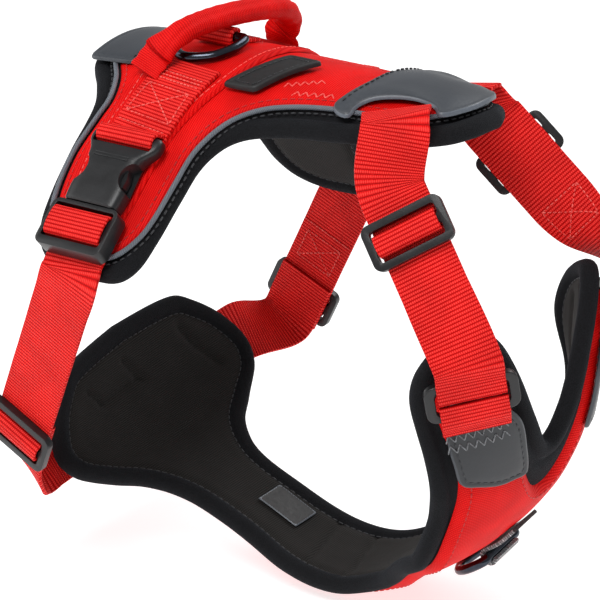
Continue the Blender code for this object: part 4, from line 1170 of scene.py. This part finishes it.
def build_slider(name, body, place):
    width, height, thick = SLIDER
    opening = (height - 3 * SLIDER_BAR) / 2
    offset = (opening + SLIDER_BAR) / 2
    holes = [rounded_rectangle(WEB + 0.9, opening, 1.2, 4, (0, way * offset)) for way in (-1, 1)]
    low = WEB_T / 2 + GAP
    mesh = plate_mesh(rounded_rectangle(width, height, 3.2, 6), holes, low, low + thick, place, 0.85)
    moulded(f"{name}_frame", mesh, body, [name])
    top = low + thick + GAP
    half = [(3.7, low + 0.7), (3.5, top - 0.7), (2.9, top + 0.3), (1.6, top + 0.95)]
    path = half + [(0.0, top + 1.1)] + [(-y, z) for y, z in reversed(half)]
    lace(f"{name}_hump", place, path, body, [f"{name}_webbing"])


def side_shift(side, point):
    x, y, z = point
    return Vector((x + SIDE_TURN * side * y, side * y, z))


def strap_frame(point, ahead, weft, side):
    out = weft.cross(ahead)
    if out.y * side < 0:
        out = -out
    return frame_matrix(point, ahead, out)


def build_girth_side(name, side):
    top, across = BUCKLE_TOP
    here = back_point(top, side * across, SOCKET_LOW)
    down = (back_point(top, side * (across + 1), SOCKET_LOW) - here).normalized()
    out = (back_point(top, side * across, SOCKET_LOW + 1) - here).normalized()
    place = frame_matrix(here, down, out)
    build_socket(name, place)
    build_plug(name, place)
    weft = across_of(place)
    if weft.x < 0:
        weft = -weft
    tab = [back_point(top + 0.12 * (across - s), side * s, TRIM_LOW + WEB_T / 2 + 0.2)
           for s in (27.0, 32.0, 37.0, 42.0, 47.0, 52.0, across - 1.5)]
    ribbon = Ribbon(route_of(tab, [Vector((1, 0, 0))] * len(tab)), 4).face_out((-37, 0, -60))
    strap(f"{name}_tab_strap", ribbon, [f"{name}_buckle_tab"],
          lift=lambda a, w: -0.12 * np.exp(-((abs(w) - 11.2) / 0.5) ** 2))
    high = WEB_T / 2 + 0.16
    end = ribbon.length
    box = [(end - 21.5, -9.5), (end - 21.5, 9.5), (end - 7.5, 10.3), (end - 7.5, -10.3)]
    box_stitch("red", ribbon.at, box, high, pitch=1.9, size=1.45, radius=0.27)
    for along in (7.6, 9.4, 11.2):
        stitch_row("red", ribbon.at, [(along, -11.0), (along, 11.0)], high, 1.7, 1.25, 0.28)
    stitch_row("red", ribbon.at, [(end - 3.6, -11.0), (end - 3.6, 11.0)], high, 1.9, 1.4, 0.27)

    path = [(-3.6, 0.9), (-2.0, 2.6), (-1.1, 4.9), (0.2, 6.5), (1.8, 7.1), (3.4, 7.0), (4.6, 5.9),
            (5.0, 4.0), (5.1, 1.2)]
    lace(f"{name}_tab_loop", place, path, "harness", [])

    slider = side_shift(side, GIRTH_SLIDER)
    leave = SOCKET_LENGTH + PLUG_FRAME[1] + 1.5
    start = placed(place, [(leave - 9.0, -0.6), (leave, -0.6), (leave + 5.0, -2.3)])
    ahead = (slider - start[-1]).normalized()
    side_weft = Vector((1, 0.05 * side, -0.25)).normalized()
    side_weft = (side_weft - ahead * side_weft.dot(ahead)).normalized()
    points = start + [start[-1] + ahead * 12, slider + ahead * 10.5]
    wefts = [weft, weft, weft.lerp(side_weft, 0.3), side_weft, side_weft]
    ribbon = Ribbon(route_of(points, wefts), 8).face_out((-60, 0, -90))
    strap(f"{name}_girth_webbing", ribbon, [f"{name}_girth_strap"])
    inner = -(WEB_T / 2 + 0.14)
    end = ribbon.length
    box = box_corners(end - 40, end - 27, 8.5)
    box_stitch("red", ribbon.at, box, inner, pitch=1.9, size=1.3, radius=0.26)
    stitch_row("red", ribbon.at, [(end - 44, -12), (end - 44, 12)], inner, 1.5, 1.2, 0.3)

    at_slider = strap_frame(slider, ahead, side_weft, side)
    build_slider(f"{name}_girth_slider", f"{name}_girth_adjuster", at_slider)
    along, across = BELLY_TAB
    outer = CHEST_LOW + SHELL_T + GAP + WEB_T / 2 + 0.2
    below = -WEB_T - GAP
    rear_weft = chest_point(along + 1, side * across) - chest_point(along, side * across)
    points = placed(at_slider, [(-11.0, below), (10.0, below)])
    points += [chest_point(along, side * (across + 18), outer + 0.5),
               chest_point(along, side * (across + 10), outer),
               chest_point(along, side * (across - 8), outer)]
    stations = route_of(points, [side_weft, side_weft, rear_weft, rear_weft, rear_weft])
    stations[0] = (points[0], ahead, side_weft)
    stations[1] = (points[1], ahead, side_weft)
    ribbon = Ribbon(stations, 8).face_out((-10, 0, -130))
    strap(f"{name}_belly_webbing", ribbon, [f"{name}_belly_strap"])
    end = ribbon.length
    box_stitch("deep_red", ribbon.at, box_corners(end - 16, end - 3, 9.5), WEB_T / 2 + 0.15,
               pitch=2.0, size=1.5, radius=0.27)


def build_neck_side(name, side):
    along, across = NECK_EXIT
    ring_v, ring_w = CHEST_RING_AT
    ring_low = ARM_COVER_LOW + COVER_T + GAP
    here = chest_point(ring_v, side * ring_w, ring_low)
    out = (chest_point(ring_v, side * ring_w, ring_low + 1) - here).normalized()
    down = (chest_point(ring_v - 1, side * (ring_w - 0.22), ring_low) - here).normalized()
    ring = frame_matrix(here, down, out)
    width, height, thick = CHEST_RING
    hole = rounded_rectangle(WEB + 1.5, height - 6.0, 1.6, 4)
    mesh = plate_mesh(rounded_rectangle(width, height, 4.0, 6), [hole], 0, thick, ring, 0.9)
    moulded(f"{name}_chest_ring_frame", mesh, "harness", [f"{name}_chest_ring"])
    weft = across_of(ring)
    if weft.x < 0:
        weft = -weft
    over = thick + GAP + WEB_T / 2
    end = ring @ Vector((0, -15, over + 1.0))
    slider = Vector(NECK_SLIDERS[side > 0])
    slider.y *= side
    ahead = (end - slider).normalized()
    mid_weft = Vector(NECK_WEFTS[side > 0])
    mid_weft = (mid_weft - ahead * mid_weft.dot(ahead)).normalized()
    exit_weft = Vector((0.933, -0.335 * side, 0.13))
    top_weft = Vector((0.88, -0.3 * side, 0.32))
    low = SADDLE_LOW + WEB_T / 2
    points = [back_point(along, side * across, low + 0.7),
              back_point(along + 6.0, side * (across + 9.5), low + 3.0),
              slider - ahead * 15, slider + ahead * 23, end, ring @ Vector((0, -7, over + 0.2)),
              ring @ Vector((0, -0.6, over + 0.1))]
    wefts = [exit_weft, top_weft, mid_weft, mid_weft, weft, weft, weft]
    stations = route_of(points, wefts)
    stations[1] = (points[1], (points[2] - points[1]).normalized(), top_weft)
    stations[2] = (points[2], ahead, mid_weft)
    stations[3] = (points[3], ahead, mid_weft)
    ribbon = Ribbon(stations, 10).face_out((60, 0, -90))
    strap(f"{name}_neck_webbing", ribbon, [f"{name}_neck_strap"])
    build_slider(f"{name}_neck_slider", f"{name}_neck_adjuster", strap_frame(slider, ahead, mid_weft, side))
    high = -WEB_T / 2 - 0.14
    box_stitch("red", ribbon.at, box_corners(62, 76, 8.5), high, pitch=2.0, size=1.4, radius=0.27)

    rim = height / 2
    keeper = placed(ring, [(0.6, over + 0.1), (rim + 0.8, over + 0.2), (rim + 3.4, over - 1.3),
                           (rim + 6.5, 1.3)])
    ribbon = Ribbon(route_of(keeper, [weft] * 4), 6).face_out((60, 0, -90))
    strap(f"{name}_keeper_webbing", ribbon, [f"{name}_ring_keeper"],
          lift=lambda a, w: -0.22 * np.exp(-((a - ribbon.length + 1.6) / 0.5) ** 2))

    for y in (16.4, 20.6):
        zigzag_on_chest(ring, y, side)


def zigzag_on_chest(ring, y, side):
    """A zigzag row across the arm cover, at a distance from the chest ring's middle."""
    ends = []
    for x in (-12.0, 12.0):
        target = np.array(ring @ Vector((x, y, 0)))
        v, w = 290.0, side * 38.0
        for _ in range(40):
            here = chest(v, w, ARM_COVER_LOW + COVER_T)
            dv = chest(v + 0.5, w, ARM_COVER_LOW + COVER_T) - here
            dw = chest(v, w + 0.5, ARM_COVER_LOW + COVER_T) - here
            move, *_ = np.linalg.lstsq(np.stack([dv, dw], -1) * 2, target - here, rcond=None)
            v, w = v + move[0] * 0.7, w + move[1] * 0.7
        ends.append((v, w))
    zigzag("grey", chest, ends[0], ends[1], ARM_COVER_LOW + COVER_T + 0.12, 3.2, 1.5, 0.28)


# ---------------------------------------------------------------- the whole harness

build_pads()
build_shells()
build_covers()
build_handle()
x, s, tilt, half = BACK_RING
here = back_point(x, s, TRIM_LOW)
place = frame_matrix(here, back_point(x, s - 1, TRIM_LOW) - here, back_point(x, s, TRIM_LOW + 1) - here)
build_ring("back_leash_ring", "back_ring", place, tilt, half, "red_webbing", ["back_ring_keeper"],
           RED_WEB, [back_point(x, s + k, TRIM_LOW + 0.8) for k in (15, 11, 7)])
v, tilt, half = FRONT_RING
here = chest_point(v, 0, ARM_COVER_LOW)
place = frame_matrix(here, chest_point(v - 1, 0, ARM_COVER_LOW) - here,
                     chest_point(v, 0, ARM_COVER_LOW + 1) - here)
build_ring("front_leash_ring", "front_ring", place, tilt, half, "silver_webbing", ["front_ring_keeper"],
           SILVER, [chest_point(v + k, 0, ARM_COVER_LOW + 0.8) for k in (17, 12, 7)])
for side_name, side in SIDES:
    build_girth_side(side_name, side)
    build_neck_side(side_name, side)
for side in (-1, 1):
    for (x0, s0), (x1, s1) in BACK_ZIGZAGS:
        zigzag("red", back, (x0, side * s0), (x1, side * s1), SHELL_LOW + SHELL_T + 0.12, 2.6, 1.5, 0.26)

for group, look, slot in (("dark", DARK_THREAD, "black_mesh"), ("red", RED_THREAD, "red_webbing"),
                          ("deep_red", DEEP_RED_THREAD, "red_fabric"),
                          ("grey", GREY_THREAD, "silver_webbing")):
    points, faces = STITCHES[group]
    make(f"{group}_stitching", points, faces, [look], "harness", slot, smooth=0)

# The CAD nodes that no piece replaces, such as the prongs, show in plastic.
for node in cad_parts.values():
    for k in range(len(node.material_slots)):
        node.material_slots[k].material = PLASTIC


# ---------------------------------------------------------------- floor, light and camera

def floor_look():
    look = Look("pale_floor", (0.6, 0.6, 0.6), 0.9, Emission_Color=(1, 1, 1, 1), Emission_Strength=0.72)
    look.tint(look.noise(3.0), (0.3, (0.58, 0.58, 0.58)), (0.7, (0.62, 0.62, 0.62)))
    return look.made


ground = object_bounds()[0][2] - FLOOR_DROP
mesh = bpy.data.meshes.new("floor")
mesh.from_pydata([(x * FLOOR_HALF, y * FLOOR_HALF, ground) for x, y in ((-1, -1), (1, -1), (1, 1), (-1, 1))],
                 [], [(0, 1, 2, 3)])
mesh.materials.append(floor_look())
floor = bpy.data.objects.new("floor", mesh)
bpy.context.scene.collection.objects.link(floor)

world = bpy.data.worlds.new("studio")
bpy.context.scene.world = world
world.use_nodes = True
background = world.node_tree.nodes["Background"]
background.inputs[0].default_value = (1, 1, 1, 1)
background.inputs[1].default_value = WORLD_STRENGTH


def aimed(name, data, place, target):
    """An object that looks from its place at its target."""
    made = bpy.data.objects.new(name, data)
    made.location = place
    made.rotation_euler = (Vector(target) - made.location).to_track_quat("-Z", "Y").to_euler()
    bpy.context.scene.collection.objects.link(made)
    return made


for name, place, size, power in LIGHTS:
    light = bpy.data.lights.new(name, "AREA")
    light.shape, light.size, light.energy = "SQUARE", size, power
    aimed(name, light, place, LIGHT_TARGET)

camera_data = bpy.data.cameras.new("camera")
camera_data.lens, camera_data.sensor_width = CAMERA_LENS, 36.0
bpy.context.scene.camera = aimed("camera", camera_data, CAMERA_AT, CAMERA_AIM)
bpy.context.scene.view_settings.view_transform = "Standard"
